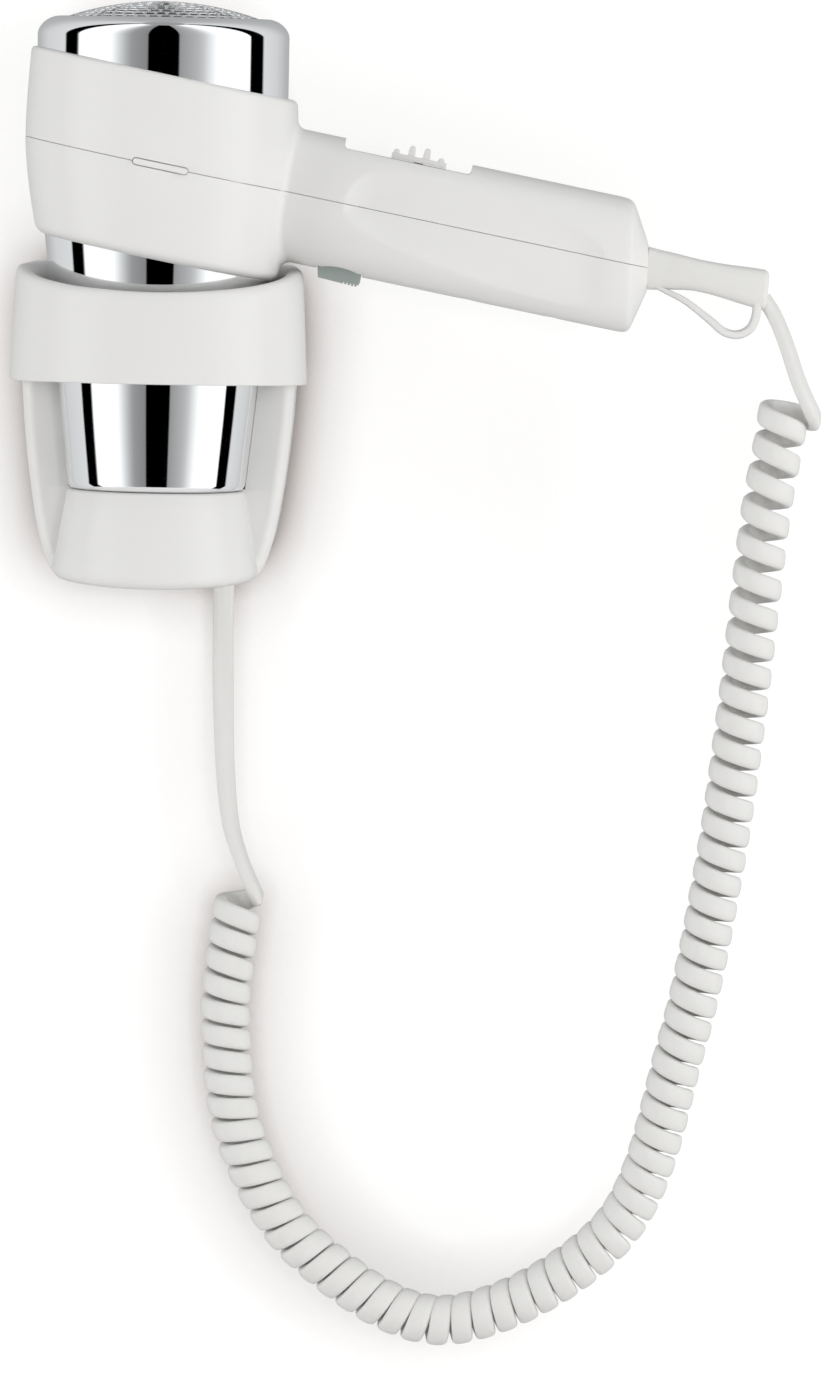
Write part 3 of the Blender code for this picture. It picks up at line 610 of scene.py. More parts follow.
def outline_normals(outline, sign):
    """Outward direction at each point of the section, which the fillet and the grip hollow follow."""
    height = HANDLE_TOP if sign > 0 else -HANDLE_BOTTOM
    normals = []
    for p in outline:
        w = math.copysign(abs(p.y / HANDLE_HALF_DEPTH) ** (HANDLE_ROUNDNESS - 1), p.y) / HANDLE_HALF_DEPTH
        v = math.copysign(abs(p.z / height) ** (HANDLE_ROUNDNESS - 1), p.z) / height
        normals.append(Vector((0, w, v)).normalized())
    return normals


def grip_half(sign):
    """One shell's share of the handle: filleted into the band, hollowed for the grip, rounded at its end."""
    outline = grip_outline(sign)
    normals = outline_normals(outline, sign)
    radius = HANDLE_FILLET
    sink = 0.00003
    centres = []
    for p, n in zip(outline, normals):
        low, high = 0.02, 0.08
        for _ in range(40):
            middle = (low + high) / 2
            if band_gap(p + n * radius + Vector((middle, 0, 0))) < radius - sink:
                low = middle
            else:
                high = middle
        centres.append(p + n * radius + Vector((low, 0, 0)))
    rows = [[Vector((0.034, p.y * 0.98, p.z * 0.98 if abs(p.z) > 0.001 else p.z)) for p in outline]]
    arcs = 9
    inward, fillet = [], [[] for _ in range(arcs + 1)]
    for p, n, c in zip(outline, normals, centres):
        to_band = -band_normal(c)
        to_grip = -n
        swing = to_band.angle(to_grip)
        for k in range(arcs + 1):
            t = k / arcs
            direction = (math.sin((1 - t) * swing) * to_band + math.sin(t * swing) * to_grip) / math.sin(swing)
            q = c + radius * direction
            if abs(p.z) < SEAM_HALF_GAP * 1.01:
                q.z = p.z
            fillet[k].append(q)
        q = c + radius * to_band + 0.0008 * to_band
        if abs(p.z) < SEAM_HALF_GAP * 1.01:
            q.z = p.z
        inward.append(q)
    rows.append(inward)
    rows += fillet
    first = max(c.x for c in centres) + 0.0012
    straight = END_SHARES[0][0]
    stations = [(first + (straight - first) * i / 150, 1.0) for i in range(150)] + list(END_SHARES)
    for along, share in stations:
        shear = -END_SLANT * smoothstep((along - END_SHEAR_FROM) / (END_SHARES[2][0] - END_SHEAR_FROM))
        row = []
        for p, n in zip(outline, normals):
            q = p - n * dish_depth(along, p.z)
            q = Vector((0, q.y * share, q.z if abs(p.z) < SEAM_HALF_GAP * 1.01 else
                        sign * SEAM_HALF_GAP + (q.z - sign * SEAM_HALF_GAP) * share))
            row.append(Vector((along + shear * q.z, q.y, q.z)))
        rows.append(row)
    return grid(rows)


def cavity():
    """The hollow inside the handle."""
    rows = []
    for along, share in ((0.0360, 1.0), (0.1440, 1.0), (0.1500, 0.88)):
        row = []
        for w, v in superellipse(0.0131, 0.0171, HANDLE_ROUNDNESS, 0, 345, 23):
            row.append((along, w * share, (v - 0.0025) * share))
        rows.append(row)
    return grid(rows)


def pill(length, height, near, far, shrink=0.0, steps=10):
    """A round-ended bar lying along u, from near to far in w."""
    radius = height / 2 - shrink
    reach = length / 2 - height / 2
    outline = [(x + reach, z) for x, z in arc((0, 0), radius, -90, 90, steps)]
    outline += [(x - reach, z) for x, z in arc((0, 0), radius, 90, 270, steps)]
    return grid([[(x, y, z) for x, z in outline] for y in (near, far)])


def upright(radius, low, high, sides=32):
    return turned([(radius, low), (radius, high)], sides, closed=False)


def make_housing():
    """The two shells, each a share of the band and of the handle, with their openings."""
    relief_hole = ((0.1480, 0.1660), (-0.0048, 0.0048), (-0.0062, 0.0058))
    stem_slot = ((SLIDER_CENTRE - SLIDER_TRAVEL - 0.0020, SLIDER_CENTRE + 0.0020), (-0.0016, 0.0016),
                 (0.0100, 0.0200))
    for name, sign, node in (("housing_rear_shell", 1, "housing_rear"),
                             ("housing_front_shell", -1, "housing_front")):
        shell = place(name, band_half(sign), BARREL)
        combine(shell, "UNION", [place("grip", grip_half(sign), HANDLE)])
        cutters = [place("cavity", cavity(), HANDLE), place("relief_cut", box(*relief_hole), HANDLE),
                   place("insert_cut", pill(INSERT_LENGTH, INSERT_HEIGHT, -0.0460, -0.0413), INSERT_PLACE)]
        if sign > 0:
            track = box((TRACK_START, TRACK_END), (-0.022, 0.022), (TRACK_FLOOR, 0.040))
            track = round_edges(place("track", track, HANDLE), 0.0012, 4)
            cutters += [apply_modifiers(track), place("stem_slot", box(*stem_slot), HANDLE)]
        else:
            half, across = BUTTON_LENGTH / 2 + CLEARANCE, BUTTON_WIDTH / 2 + CLEARANCE
            window = box((BUTTON_CENTRE - half, BUTTON_CENTRE + half), (-across, across), (-0.030, -0.015))
            scallop = upright(SCALLOP_RADIUS, -0.0200, 0.0200, 96)
            turn = Matrix.Translation((BUTTON_CENTRE, 0, SCALLOP_CENTRE)) @ Matrix.Rotation(math.pi / 2, 4, "X")
            cutters += [place("button_cut", window, HANDLE), place("scallop", scallop, HANDLE @ turn)]
            for along in SCREW_PLACES:
                seat = HANDLE @ Matrix.Translation((along, 0, 0))
                cutters.append(place("screw_seat", upright(0.0034, -0.0260, -0.0125), seat))
        combine(shell, "DIFFERENCE", cutters)
        finish_piece(shell, WHITE, "dryer", "white_plastic", node)


def make_insert():
    """The round-ended insert in the seam, a hair smaller than its pocket."""
    bm = pill(INSERT_LENGTH, INSERT_HEIGHT, -0.0430, -0.0416, 0.00026)
    insert = place("seam_insert_pill", bm, INSERT_PLACE)
    round_edges(insert, 0.00030)
    apply_modifiers(insert)
    finish_piece(insert, WHITE, "dryer", "white_plastic", "seam_insert")


# ---- controls

def make_slider():
    """The speed slider: a plate with four rounded ribs and a stem down to its switch."""
    here = HANDLE @ Matrix.Translation((SLIDER_CENTRE, 0, 0))
    slider = place("speed_slider", box((-0.0088, 0.0088), (-0.0065, 0.0065), (0.0173, 0.0189)), here)
    ribs = []
    for i, top in enumerate((0.0203, 0.0223, 0.0224, 0.0202)):
        centre = -0.0075 + 0.00485 * i
        outline = [(centre - 0.0013, 0.0178)] + arc((centre, top - 0.0010), 0.0010, 180, 0, 10)
        outline += [(centre + 0.0013, 0.0178)]
        ribs.append(place("rib", grid([[(x, y, z) for x, z in outline] for y in (-0.0056, 0.0056)]), here))
    ribs.append(place("stem", box((-0.0015, 0.0015), (-0.0012, 0.0012), (0.0100, 0.0180)), here))
    combine(slider, "UNION", ribs)
    round_edges(slider, 0.00055, 4, 40)
    apply_modifiers(slider, 50)
    finish_piece(slider, WHITE, "speed_switch", "white_plastic", "switch_slider")


def make_button():
    """The button: a straight bar with grip ridges at one end and a flange that keeps it in the handle."""
    here = HANDLE @ Matrix.Translation((BUTTON_CENTRE, 0, 0))
    half, across = BUTTON_LENGTH / 2, BUTTON_WIDTH / 2
    outline = [(-half, BUTTON_BACK), (-half, -0.0212), (-half + 0.0009, -0.0247)]
    outline += [(half - 0.0012, BUTTON_TIP), (half - 0.0004, BUTTON_TIP + 0.0004), (half, BUTTON_TIP + 0.0014)]
    outline += [(half, BUTTON_BACK)]
    button = place("grip_button", grid([[(x, y, z) for x, z in outline] for y in (-across, across)]), here)
    grooves = []
    for i in range(5):
        x = half - 0.0006 - 0.0011 * i
        groove = box((x - 0.00018, x + 0.00018), (-0.01, 0.01), (-0.030, BUTTON_TIP + 0.0007))
        grooves.append(place("groove", groove, here))
    flange = place("flange", box((-0.0088, 0.0088), (-0.0068, 0.0068), (-0.0180, BUTTON_BACK)), here)
    combine(button, "UNION", [flange])
    combine(button, "DIFFERENCE", grooves)
    round_edges(button, 0.0005, 4, 40)
    apply_modifiers(button, 50)
    finish_piece(button, BUTTON_GREY, "button", "button_grey", "safety_button")


# ---- strain relief

def make_relief():
    """A tapered trumpet with a flat strap that loops below it."""
    stations = ((0.1574, 0.0055, 0.0068, -0.0003), (0.1610, 0.0053, 0.0065, -0.0002),
                (0.1660, 0.0048, 0.0059, 0.0003), (0.1740, 0.0042, 0.0051, 0.0008),
                (0.1820, 0.0042, 0.0053, 0.0008), (0.1900, 0.0046, 0.0060, 0.0007),
                (0.1955, 0.0048, 0.0064, 0.0006))
    line = catmull_rom([(s[0], s[2], s[3]) for s in stations], 5)
    depth = catmull_rom([(s[0], s[1], 0) for s in stations], 5)
    end, end_depth, end_height, end_middle = stations[-1]
    rounding = []
    for k in range(6):
        angle = math.pi / 2 * k / 5
        drawn_in = 0.0016 * (1 - math.cos(angle))
        rounding.append((end + 0.0017 * math.sin(angle), end_depth - drawn_in, end_height - drawn_in, end_middle))
    shape = [(p.x, d.y, p.y, p.z) for p, d in zip(line, depth)][:-1] + rounding
    loops = []
    for along, half_depth, half_height, middle in shape:
        slant = 0.12 * smoothstep((along - 0.1850) / 0.0100)
        section = superellipse(half_depth, half_height, 3.2, 0, 352.5, 47)
        loops.append([(along - slant * v, w, v + middle) for w, v in section])
    relief = place("strain_relief_trumpet", grid(loops), HANDLE)
    route = catmull_rom([(u, 0, v) for u, v in ((0.1615, -0.0052), (0.1660, -0.0064), (0.1723, -0.0081),
                                                (0.1808, -0.0122), (0.1861, -0.0150), (0.1909, -0.0150),
                                                (0.1943, -0.0122), (0.1952, -0.0078), (0.1945, -0.0030))], 6)
    strap = []
    strap_half_width = 0.0042
    for i, point in enumerate(route):
        ahead = route[min(i + 1, len(route) - 1)] - route[max(i - 1, 0)]
        out = Vector((-ahead.z, 0, ahead.x)).normalized()
        share = i / (len(route) - 1)
        thick = 0.0008 + 0.0006 * smoothstep(share * 1.8)
        section = superellipse(strap_half_width, thick, 3.5, 0, 337.5, 15)
        strap.append([point + out * v + Vector((0, w, 0)) for w, v in section])
    flange = box((0.1475, 0.1500), (-0.0062, 0.0062), (-0.0082, 0.0078))
    neck = box((0.1485, 0.1612), (-0.0044, 0.0044), (-0.0058, 0.0054))
    combine(relief, "UNION", [place("strap", grid(strap), HANDLE), place("neck", neck, HANDLE),
                              place("flange", flange, HANDLE)], 45)
    finish_piece(relief, VINYL, "dryer", "cord_white", "strain_relief")


# ---- cord

LEAD_HOLDER = ((0.0211, -0.0112, -0.0655), (0.0211, -0.0115, -0.0740), (0.0212, -0.0120, -0.0880),
               (0.0216, -0.0127, -0.1040), (0.0226, -0.0133, -0.1260), (0.0246, -0.0138, -0.1440),
               (0.0282, -0.0142, -0.1560), (0.0326, -0.0150, -0.1660))
COIL = ((0.0277, -0.0143, -0.1686), (0.0276, -0.0143, -0.1720), (0.0256, -0.0146, -0.1860),
        (0.0242, -0.0148, -0.2100), (0.0300, -0.0155, -0.2480), (0.0530, -0.0180, -0.2840),
        (0.0985, -0.0235, -0.3050), (0.1520, -0.0315, -0.2730), (0.1720, -0.0385, -0.2120),
        (0.1825, -0.0440, -0.1550), (0.1884, -0.0480, -0.1060), (0.1922, -0.0510, -0.0650),
        (0.1950, -0.0530, -0.0370), (0.1985, -0.0538, -0.0150), (0.1996, -0.0540, -0.0066))
LEAD_DRYER = ((0.1965, -0.0484, -0.0054), (0.2030, -0.0478, -0.0063), (0.2080, -0.0500, -0.0082),
              (0.2096, -0.0550, -0.0078), (0.2078, -0.0592, -0.0040), (0.2054, -0.0600, 0.0010),
              (0.2032, -0.0594, 0.0064), (0.2009, -0.0578, 0.0132), (0.1985, -0.0560, 0.0196),
              (0.1958, -0.0543, 0.0255), (0.1925, -0.0540, 0.0305))
# Axial distance from turn to turn, by distance along the coil from the holder's end.
PITCHES = ((0.000, 0.0078), (0.060, 0.0076), (0.130, 0.0072), (0.180, 0.0069), (0.240, 0.0070),
           (0.290, 0.0075), (0.340, 0.0078), (0.380, 0.0081), (0.420, 0.0086), (0.450, 0.0096),
           (0.475, 0.0101), (0.520, 0.0096))
POINTS_PER_TURN = 18
# The coil starts on its right-hand side and ends on its left, where the cord goes behind it to the lead.
TURNS = 64.0


def pitch_at(distance):
    """Pitch of the coil at a distance along it."""
    for (d0, p0), (d1, p1) in zip(PITCHES, PITCHES[1:]):
        if distance <= d1:
            return p0 + (p1 - p0) * (distance - d0) / (d1 - d0)
    return PITCHES[-1][1]


def coil_points():
    """Points and outward directions of the left-handed helix round the coil's centreline."""
    line = catmull_rom(COIL, 60)
    lengths = [(b - a).length for a, b in zip(line, line[1:])]
    untrimmed, distance = 0.0, 0.0
    for length in lengths:
        untrimmed += length / pitch_at(distance)
        distance += length
    tightness = TURNS / untrimmed
    across = Vector((1, 0, 0))
    points, outward = [], []
    distance, turn = 0.0, 0.0
    step_angle = 1 / POINTS_PER_TURN
    for here, there in zip(line, line[1:]):
        forward = (there - here).normalized()
        length = (there - here).length
        across = (across - forward * across.dot(forward)).normalized()
        side = forward.cross(across)
        gained = length / pitch_at(distance) * tightness
        while len(points) * step_angle <= turn + gained + 1e-6:
            share = (len(points) * step_angle - turn) / gained
            angle = 2 * math.pi * len(points) * step_angle
            out = across * math.cos(angle) - side * math.sin(angle)
            points.append(here.lerp(there, share) + out * COIL_MEAN_RADIUS)
            outward.append(out)
        distance += length
        turn += gained
    return points, outward


def cord_path():
    """The route of the cord in three parts, and the outward directions of the coiled one."""
    turns, outward = coil_points()
    first = catmull_rom(list(LEAD_HOLDER) + [turns[0], turns[1]], 10)
    first = first[:len(first) - 21]
    last = catmull_rom([turns[-2], turns[-1]] + list(LEAD_DRYER), 10)[10:]
    return first, turns, last, outward


def make_cord():
    """One flat cord from the holder's bush through every turn to the strain relief."""
    first, turns, last, outward = cord_path()
    path = first + turns + last[1:]
    begin, end = len(first), len(first) + len(turns) - 1
    tangents = []
    for i in range(len(path)):
        ahead = path[min(i + 1, len(path) - 1)] - path[max(i - 1, 0)]
        tangents.append(ahead.normalized())
    normals = [None] * len(path)
    for i in range(begin, end + 1):
        out = outward[i - begin]
        normals[i] = (out - tangents[i] * out.dot(tangents[i])).normalized()
    for lead, back, facing in ((range(begin - 1, -1, -1), 1, Vector((0, -1, 0))),
                               (range(end + 1, len(path)), -1, Vector((0.96, -0.28, 0)))):
        for i in lead:
            carried = normals[i + back]
            normals[i] = (carried - tangents[i] * carried.dot(tangents[i])).normalized()
        twist_to(normals, tangents, list(lead), facing.normalized())
    rows = []
    for point, tangent, normal in zip(path, tangents, normals):
        wide = tangent.cross(normal)
        rows.append([point + wide * x + normal * y
                     for x, y in superellipse(CORD_WIDTH / 2, CORD_THICKNESS / 2, 3.0, 0, 337.5, 15)])
    cord = place("curly_cord", grid(rows), sharp=60)
    cord.data.materials.append(VINYL)
    cord.visible_glossy = False
    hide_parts("cord_lead_holder", "cord_coil", "cord_lead_dryer")
    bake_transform(cord)


def twist_to(normals, tangents, indices, target):
    """Turns the section little by little along a lead, so that its last face looks at target."""
    final = indices[-1]
    wanted = (target - tangents[final] * target.dot(tangents[final])).normalized()
    have = normals[final]
    angle = math.atan2(tangents[final].dot(have.cross(wanted)), have.dot(wanted))
    if angle > math.pi / 2:
        angle -= math.pi
    if angle < -math.pi / 2:
        angle += math.pi
    for k, i in enumerate(indices):
        share = smoothstep((k + 1) / len(indices))
        normals[i] = Matrix.Rotation(angle * share, 3, tangents[i]) @ normals[i]


# ---- holder

def collar_outline(radius, count=64):
    """Front half circle with straight sides back to the wall plate: (x, y, forward share, angle)."""
    back = HOLDER_BACK
    points = []
    for i in range(count + 1):
        angle = -math.pi * i / count
        points.append((radius * math.cos(angle), AXIS_Y + radius * math.sin(angle), -math.sin(angle), angle))
    depth = back - AXIS_Y

    def side(share):
        return radius - COLLAR_DRAFT * share

    for share in (0.25, 0.5, 0.75, 0.92):
        points.append((-side(share), AXIS_Y + depth * share, 0.0, math.pi - math.atan2(depth * share, radius)))
    points += [(-side(1) + 0.0008, back - 0.0002, 0.0, math.pi - math.atan2(depth, radius) - 0.005),
               (-side(1) + 0.0030, back, 0.0, math.pi - math.atan2(depth, radius - 0.0030))]
    for share in (-0.6, -0.3, 0.0, 0.3, 0.6):
        points.append((radius * share, back, 0.0, math.pi / 2 - share * math.atan2(radius, depth)))
    points += [(side(1) - 0.0030, back, 0.0, math.atan2(depth, radius - 0.0030)),
               (side(1) - 0.0008, back - 0.0002, 0.0, math.atan2(depth, radius) + 0.005)]
    for share in (0.92, 0.75, 0.5, 0.25):
        points.append((side(share), AXIS_Y + depth * share, 0.0, math.atan2(depth * share, radius)))
    return points


def make_collar():
    """The collar: upright outside, a rolled rim that dips to the front, and a funnel inside."""
    levels = [(0.0000, 0.04715), (0.0003, 0.04745), (0.0010, 0.04752)]
    levels += [(z, 0.04755 - 0.0485 * z) for z in (0.006, 0.014, 0.022, 0.029, 0.0325)]
    top = RING_HEIGHT
    levels += [(top - 0.0027, 0.0458), (top - 0.0012, 0.0454), (top - 0.0004, 0.0448), (top, 0.0439)]
    inside = [(top, 0.0427), (top - 0.0004, 0.0415), (top - 0.0012, 0.0405), (top - 0.0024, 0.0398),
              (top - 0.0044, 0.0393), (0.0280, 0.0389), (0.0200, 0.0380), (0.0100, 0.0371), (0.0000, 0.0366)]

    def height_of(z, forward):
        share = z / RING_HEIGHT
        return z - RING_FRONT_DROP * forward * share + RING_FRONT_LIFT * forward * (1 - share)

    rows = []
    for z, radius in levels:
        rows.append([(x, y, height_of(z, forward)) for x, y, forward, _ in collar_outline(radius)])
    for z, radius in inside:
        row = []
        for _, _, forward, angle in collar_outline(0.0475):
            row.append((radius * math.cos(angle), AXIS_Y + radius * math.sin(angle), height_of(z, forward)))
        rows.append(row)
    collar = place("collar_ring", grid(rows, closed_rows=True), sharp=40)
    hollow = place("screw_space", box((-0.020, 0.020), (-0.0108, 0.010), (-0.010, 0.0320)))
    combine(collar, "DIFFERENCE", [hollow], 40)
    finish_piece(collar, HOLDER_WHITE, "wall_holder", "white_plastic", "holder_ring")


def make_holder_body():
    """Cheeks either side of the nozzle and the tray below it, with the wiring space behind."""
    back, front, radius = HOLDER_BACK, CHEEK_FRONT, CHEEK_CORNER
    profile = ((-0.0625, 0.0318), (-0.0619, 0.0328), (-0.0605, 0.0338), (-0.0585, 0.0349), (-0.0550, 0.0362),
               (-0.0500, 0.0377), (-0.0430, 0.0391), (-0.0340, 0.0405), (-0.0240, 0.0418), (-0.0120, 0.0430),
               (-0.0003, 0.0437))
    rows = []
    for height, half in profile:
        side = [(half, back)]
        side += [(half, back + (front + radius - back) * k / 3) for k in (1, 2)]
        side += [(x, y) for x, y in arc((half - radius, front + radius), radius, 0, -90, 10)]
        side += [(half * 0.35, front + 0.0012)]
        row = side + [(-x, y) for x, y in side[::-1]]
        rows.append([(x, y, height) for x, y in row])
    body = place("holder_body", grid(rows), sharp=40)
    tray = [(0.0296, -0.0645), (0.0308, -0.0642), (0.0320, -0.0633), (0.0327, -0.0620), (TRAY_RADIUS, -0.0605)]
    tray += [(TRAY_RADIUS - 0.0043 * t, -0.0605 + 0.0253 * t) for t in (0.25, 0.5, 0.75, 1.0)]
    tray += [(0.0281, -0.0345), (0.0272, -0.0342)]
    bottom = turned(tray, AROUND, closed=False)
    for vert in bottom.verts:
        if vert.co.z < -0.0600:
            vert.co.z += TRAY_BOW * (vert.co.x / TRAY_RADIUS) ** 2
    combine(body, "UNION", [place("tray", bottom, BARREL)], 40)
    inner = [(0.0270, -0.0620), (0.0296, -0.0610), (0.0300, -0.0590), (0.0262, -0.0358), (0.0262, -0.0341)]
    inner += [(nozzle_radius(-0.0339) + NOZZLE_PLAY, -0.0340)]
    inner += [(nozzle_radius(z) + NOZZLE_PLAY, z) for z in (0.0, 0.0100)]
    pocket = place("pocket", turned(inner, AROUND, closed=False), BARREL)
    wiring = place("wiring", box((-0.030, 0.030), (-0.0165, 0.010), (-0.0580, -0.0040)))
    bush = place("bush_hole", upright(0.0045, -0.080, -0.050), BUSH_PLACE)
    combine(body, "DIFFERENCE", [pocket, wiring, bush], 40)
    round_edges(body, 0.0005, 3, 45)
    apply_modifiers(body, 45)
    finish_piece(body, HOLDER_WHITE, "wall_holder", "white_plastic", "holder_cover")


def make_bush():
    """The bush that the cord leaves the holder through."""
    profile = [(0.0001, -0.0590), (0.0042, -0.0590), (0.0042, -0.0627), (0.0056, -0.0629), (0.0056, -0.0636)]
    profile += arc((0.0050, -0.0640), 0.0006, 0, -60, 4) + [(0.0043, -0.0651), (0.0001, -0.0651)]
    bush = place("cord_bush", turned(profile, 48, closed=False), BUSH_PLACE)
    finish_piece(bush, VINYL, "wall_holder", "cord_white", "cord_gland")


# ---- stage, light and camera

def make_tent():
    """A tall drum of studio cards round the barrel, seen only in reflections: a black card behind the camera,
    white cloth at the sides and a thin black edge on each."""
    bm = turned([(1.3, -3.0), (1.3, 7.0)], 96, closed=False)
    for face in [f for f in bm.faces if len(f.verts) > 4]:
        bm.faces.remove(face)
    tent = place("studio_cards", bm, Matrix.Identity(4))
    tent.location = (0, AXIS_Y, 0)
    tent.rotation_euler = (0, 0, -math.pi / 2)
    made = bpy.data.materials.new("studio_cards")
    made.cycles.emission_sampling = "NONE"
    made.use_nodes = True
    nodes, links = made.node_tree.nodes, made.node_tree.links
    nodes.clear()
    output = nodes.new("ShaderNodeOutputMaterial")
    glow = nodes.new("ShaderNodeEmission")
    links.new(glow.outputs["Emission"], output.inputs["Surface"])
    coordinates = nodes.new("ShaderNodeTexCoord")
    radial = nodes.new("ShaderNodeTexGradient")
    radial.gradient_type = "RADIAL"
    ramp = nodes.new("ShaderNodeValToRGB")
    links.new(coordinates.outputs["Object"], radial.inputs["Vector"])
    links.new(radial.outputs["Fac"], ramp.inputs["Fac"])
    links.new(ramp.outputs["Color"], glow.inputs["Color"])
    # Brightness of the cards by degrees round the barrel, from behind it round its left and back again.
    cards = ((-180, 0.40), (-150, 0.50), (-128, 0.68), (-98.6, 0.76), (-97.8, 0.0), (-81.8, 0.0),
             (-81.2, 1.15), (-46, 1.12), (-38, 0.72), (-32, 0.48), (-27, 0.34), (-21.5, 0.30), (-11.8, 0.25),
             (-11.3, 0.0), (15.5, 0.0), (16, 0.32), (22, 0.38), (27.5, 0.43), (33.5, 0.50), (38.5, 0.61),
             (44, 0.84), (51, 1.12), (87.8, 1.15), (88.4, 0.0), (105, 0.0), (105.8, 0.76), (128, 0.68),
             (150, 0.50), (180, 0.40))
    stops = [(0.5 + azimuth / 360, value) for azimuth, value in cards]
    elements = ramp.color_ramp.elements
    while len(elements) > 1:
        elements.remove(elements[-1])
    elements[0].position = max(0.0, stops[0][0])
    elements[0].color = (stops[0][1], stops[0][1], stops[0][1], 1)
    for position, value in stops[1:]:
        element = elements.new(min(1.0, position))
        element.color = (value * 0.985, value, value * 1.01, 1)
    tent.data.materials.append(made)
    tent.visible_camera = False
    tent.visible_diffuse = False
    tent.visible_shadow = False
    tent.visible_transmission = False


def stage_sheet(name, corners, material):
    """One flat face of the room."""
    bm = bmesh.new()
    bm.faces.new([bm.verts.new(p) for p in corners])
    mesh = bpy.data.meshes.new(name)
    bm.to_mesh(mesh)
    bm.free()
    mesh.materials.append(material)
    sheet = bpy.data.objects.new(name, mesh)
    bpy.context.collection.objects.link(sheet)
    return sheet


def wall_with_painted_shadow():
    """White paint with painted shadow: darkened close beside and below whatever stands on it, in both its colour
    and its glow, and clear from behind.
    """
    made = bpy.data.materials.new("wall_with_painted_shadow")
    made.cycles.emission_sampling = "NONE"
    made.use_nodes = True
    tree = made.node_tree
    shader = tree.nodes["Principled BSDF"]
    shader.inputs["Roughness"].default_value = 0.9
    shader.inputs["Specular IOR Level"].default_value = 0.1
    shader.inputs["Emission Strength"].default_value = 0.70

    def shadow(distance, towards, tones):
        near = tree.nodes.new("ShaderNodeAmbientOcclusion")
        near.samples = 12
        near.inputs["Distance"].default_value = distance
        near.inputs["Normal"].default_value = towards
        shaded = tree.nodes.new("ShaderNodeValToRGB")
        ramp = shaded.color_ramp.elements
        ramp.new(0.5)
        for element, (position, tone) in zip(ramp, tones):
            element.position, element.color = position, (*tone, 1)
        tree.links.new(near.outputs["AO"], shaded.inputs["Fac"])
        return shaded.outputs["Color"]

    def multiplied(first):
        node = tree.nodes.new("ShaderNodeVectorMath")
        node.operation = "MULTIPLY"
        tree.links.new(first, node.inputs[0])
        return node

    # Painted shadow: a narrow dark band close beside whatever stands on the wall, and a deeper, wider one below
    # it.
    beside = shadow(0.012, (0.0, -1.0, 0.0),
                    ((0.45, (0.50, 0.46, 0.445)), (0.70, (0.84, 0.82, 0.815)), (1.0, (1, 1, 1))))
    below = shadow(0.026, (0.25, -0.20, 0.95),
                   ((0.42, (0.34, 0.305, 0.29)), (0.54, (0.72, 0.70, 0.69)), (1.0, (1, 1, 1))))
    both = multiplied(beside)
    tree.links.new(below, both.inputs[1])
    # The painted shadow darkens the wall's colour and its glow alike.
    for tone, socket in (((0.35, 0.348, 0.346), "Base Color"), ((0.98, 0.975, 0.97), "Emission Color")):
        toned = multiplied(both.outputs["Vector"])
        toned.inputs[1].default_value = tone
        tree.links.new(toned.outputs["Vector"], shader.inputs[socket])
    clear = tree.nodes.new("ShaderNodeBsdfTransparent")
    mix = tree.nodes.new("ShaderNodeMixShader")
    geometry = tree.nodes.new("ShaderNodeNewGeometry")
    output = tree.nodes["Material Output"]
    tree.links.new(geometry.outputs["Backfacing"], mix.inputs["Fac"])
    tree.links.new(shader.outputs["BSDF"], mix.inputs[1])
    tree.links.new(clear.outputs["BSDF"], mix.inputs[2])
    tree.links.new(mix.outputs["Shader"], output.inputs["Surface"])
    return made


def make_stage():
    """White wall behind, pale floor below. The wall is seen from the front only."""
    corners = ((-3, 0.0004, -0.9), (3, 0.0004, -0.9), (3, 0.0004, 2.5), (-3, 0.0004, 2.5))
    wall = stage_sheet("studio_wall", corners, wall_with_painted_shadow())
    wall.visible_glossy = False
    wall.visible_shadow = False
    wall.visible_diffuse = False
    floor_paint, _, _ = principled("floor_paint", (0.86, 0.855, 0.85), 0.8)
    stage_sheet("studio_floor", ((-6, -6, -0.9), (6, -6, -0.9), (6, 6, -0.9), (-6, 6, -0.9)), floor_paint)


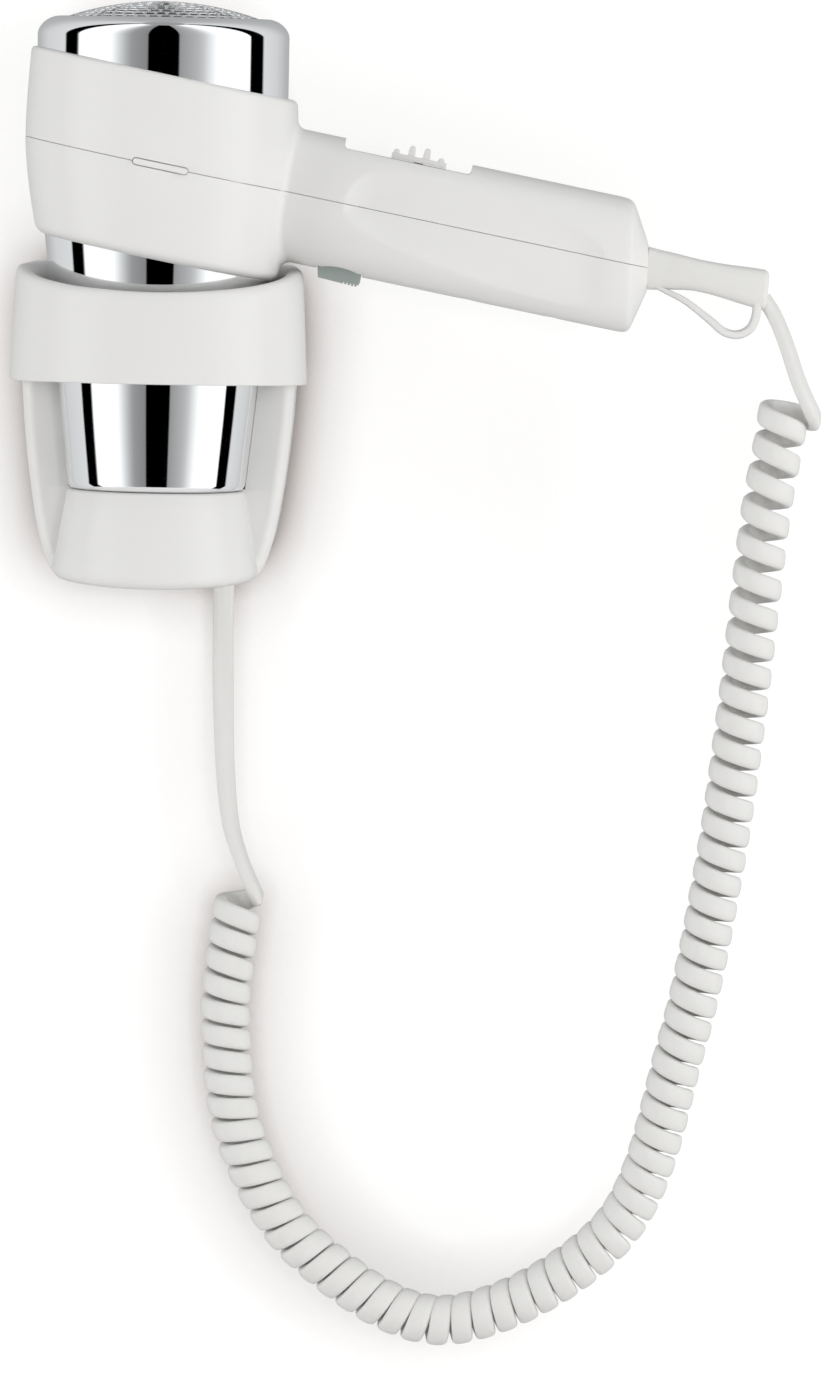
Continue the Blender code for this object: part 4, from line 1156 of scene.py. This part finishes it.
def area_light(name, azimuth, elevation, distance, size, power):
    """A softbox that looks at the dryer from a direction round it; azimuth 0 is straight in front."""
    light = bpy.data.lights.new(name, "AREA")
    light.shape = "RECTANGLE"
    light.size, light.size_y = size
    light.energy = power
    obj = bpy.data.objects.new(name, light)
    bpy.context.collection.objects.link(obj)
    a, e = math.radians(azimuth), math.radians(elevation)
    aim = Vector((0.06, AXIS_Y, -0.05))
    away = Vector((math.sin(a) * math.cos(e), -math.cos(a) * math.cos(e), math.sin(e)))
    obj.location = aim + away * distance
    obj.rotation_euler = (-away).to_track_quat("-Z", "Y").to_euler()
    obj.visible_glossy = False


def make_lights():
    """Softboxes round the front and an even sky."""
    area_light("key", 15, 4, 2.4, (0.30, 0.30), 7)
    area_light("left_softbox", -68, 6, 2.2, (1.1, 2.0), 25)
    area_light("right_softbox", 66, 8, 2.2, (1.1, 2.0), 29)
    area_light("overhead", 0, 60, 2.2, (1.6, 1.2), 8)
    area_light("low_fill", 0, -12, 2.4, (1.6, 1.0), 7)
    world = bpy.data.worlds.new("studio")
    bpy.context.scene.world = world
    world.use_nodes = True
    background = world.node_tree.nodes["Background"]
    background.inputs["Color"].default_value = (0.93, 0.935, 0.94, 1)
    background.inputs["Strength"].default_value = 0.37


def make_camera():
    """Straight on, a little above the dryer, with the slight roll of the view."""
    camera = bpy.data.cameras.new("view")
    camera.sensor_width = 36
    camera.clip_end = 50
    obj = bpy.data.objects.new("view", camera)
    bpy.context.collection.objects.link(obj)
    target = Vector((0.0828, AXIS_Y, -0.1002))
    distance, elevation, seen = 2.5, math.radians(4.5), 0.448
    camera.lens = 36 * distance / seen
    away = Vector((0, -math.cos(elevation), math.sin(elevation)))
    obj.location = target + away * distance
    roll = Matrix.Rotation(math.radians(1.1), 4, "Z")
    facing = (-away).to_track_quat("-Z", "Y").to_matrix().to_4x4()
    obj.rotation_euler = (facing @ roll).to_euler()
    bpy.context.scene.camera = obj
    bpy.context.scene.view_settings.view_transform = "Standard"


make_camera()
make_cord()
make_cap()
make_grille()
make_nozzle()
make_housing()
make_insert()
make_slider()
make_button()
make_relief()
make_collar()
make_holder_body()
make_bush()

for row in frame["record"]["subparts"]:
    node = frame["nodes"][row["node"]]
    node.data.materials.clear()
    node.data.materials.append(SCREEN if row["node"] == "lint_screen" else SLOT_MATERIALS[row["material_slot"]])

make_tent()
make_stage()
make_lights()
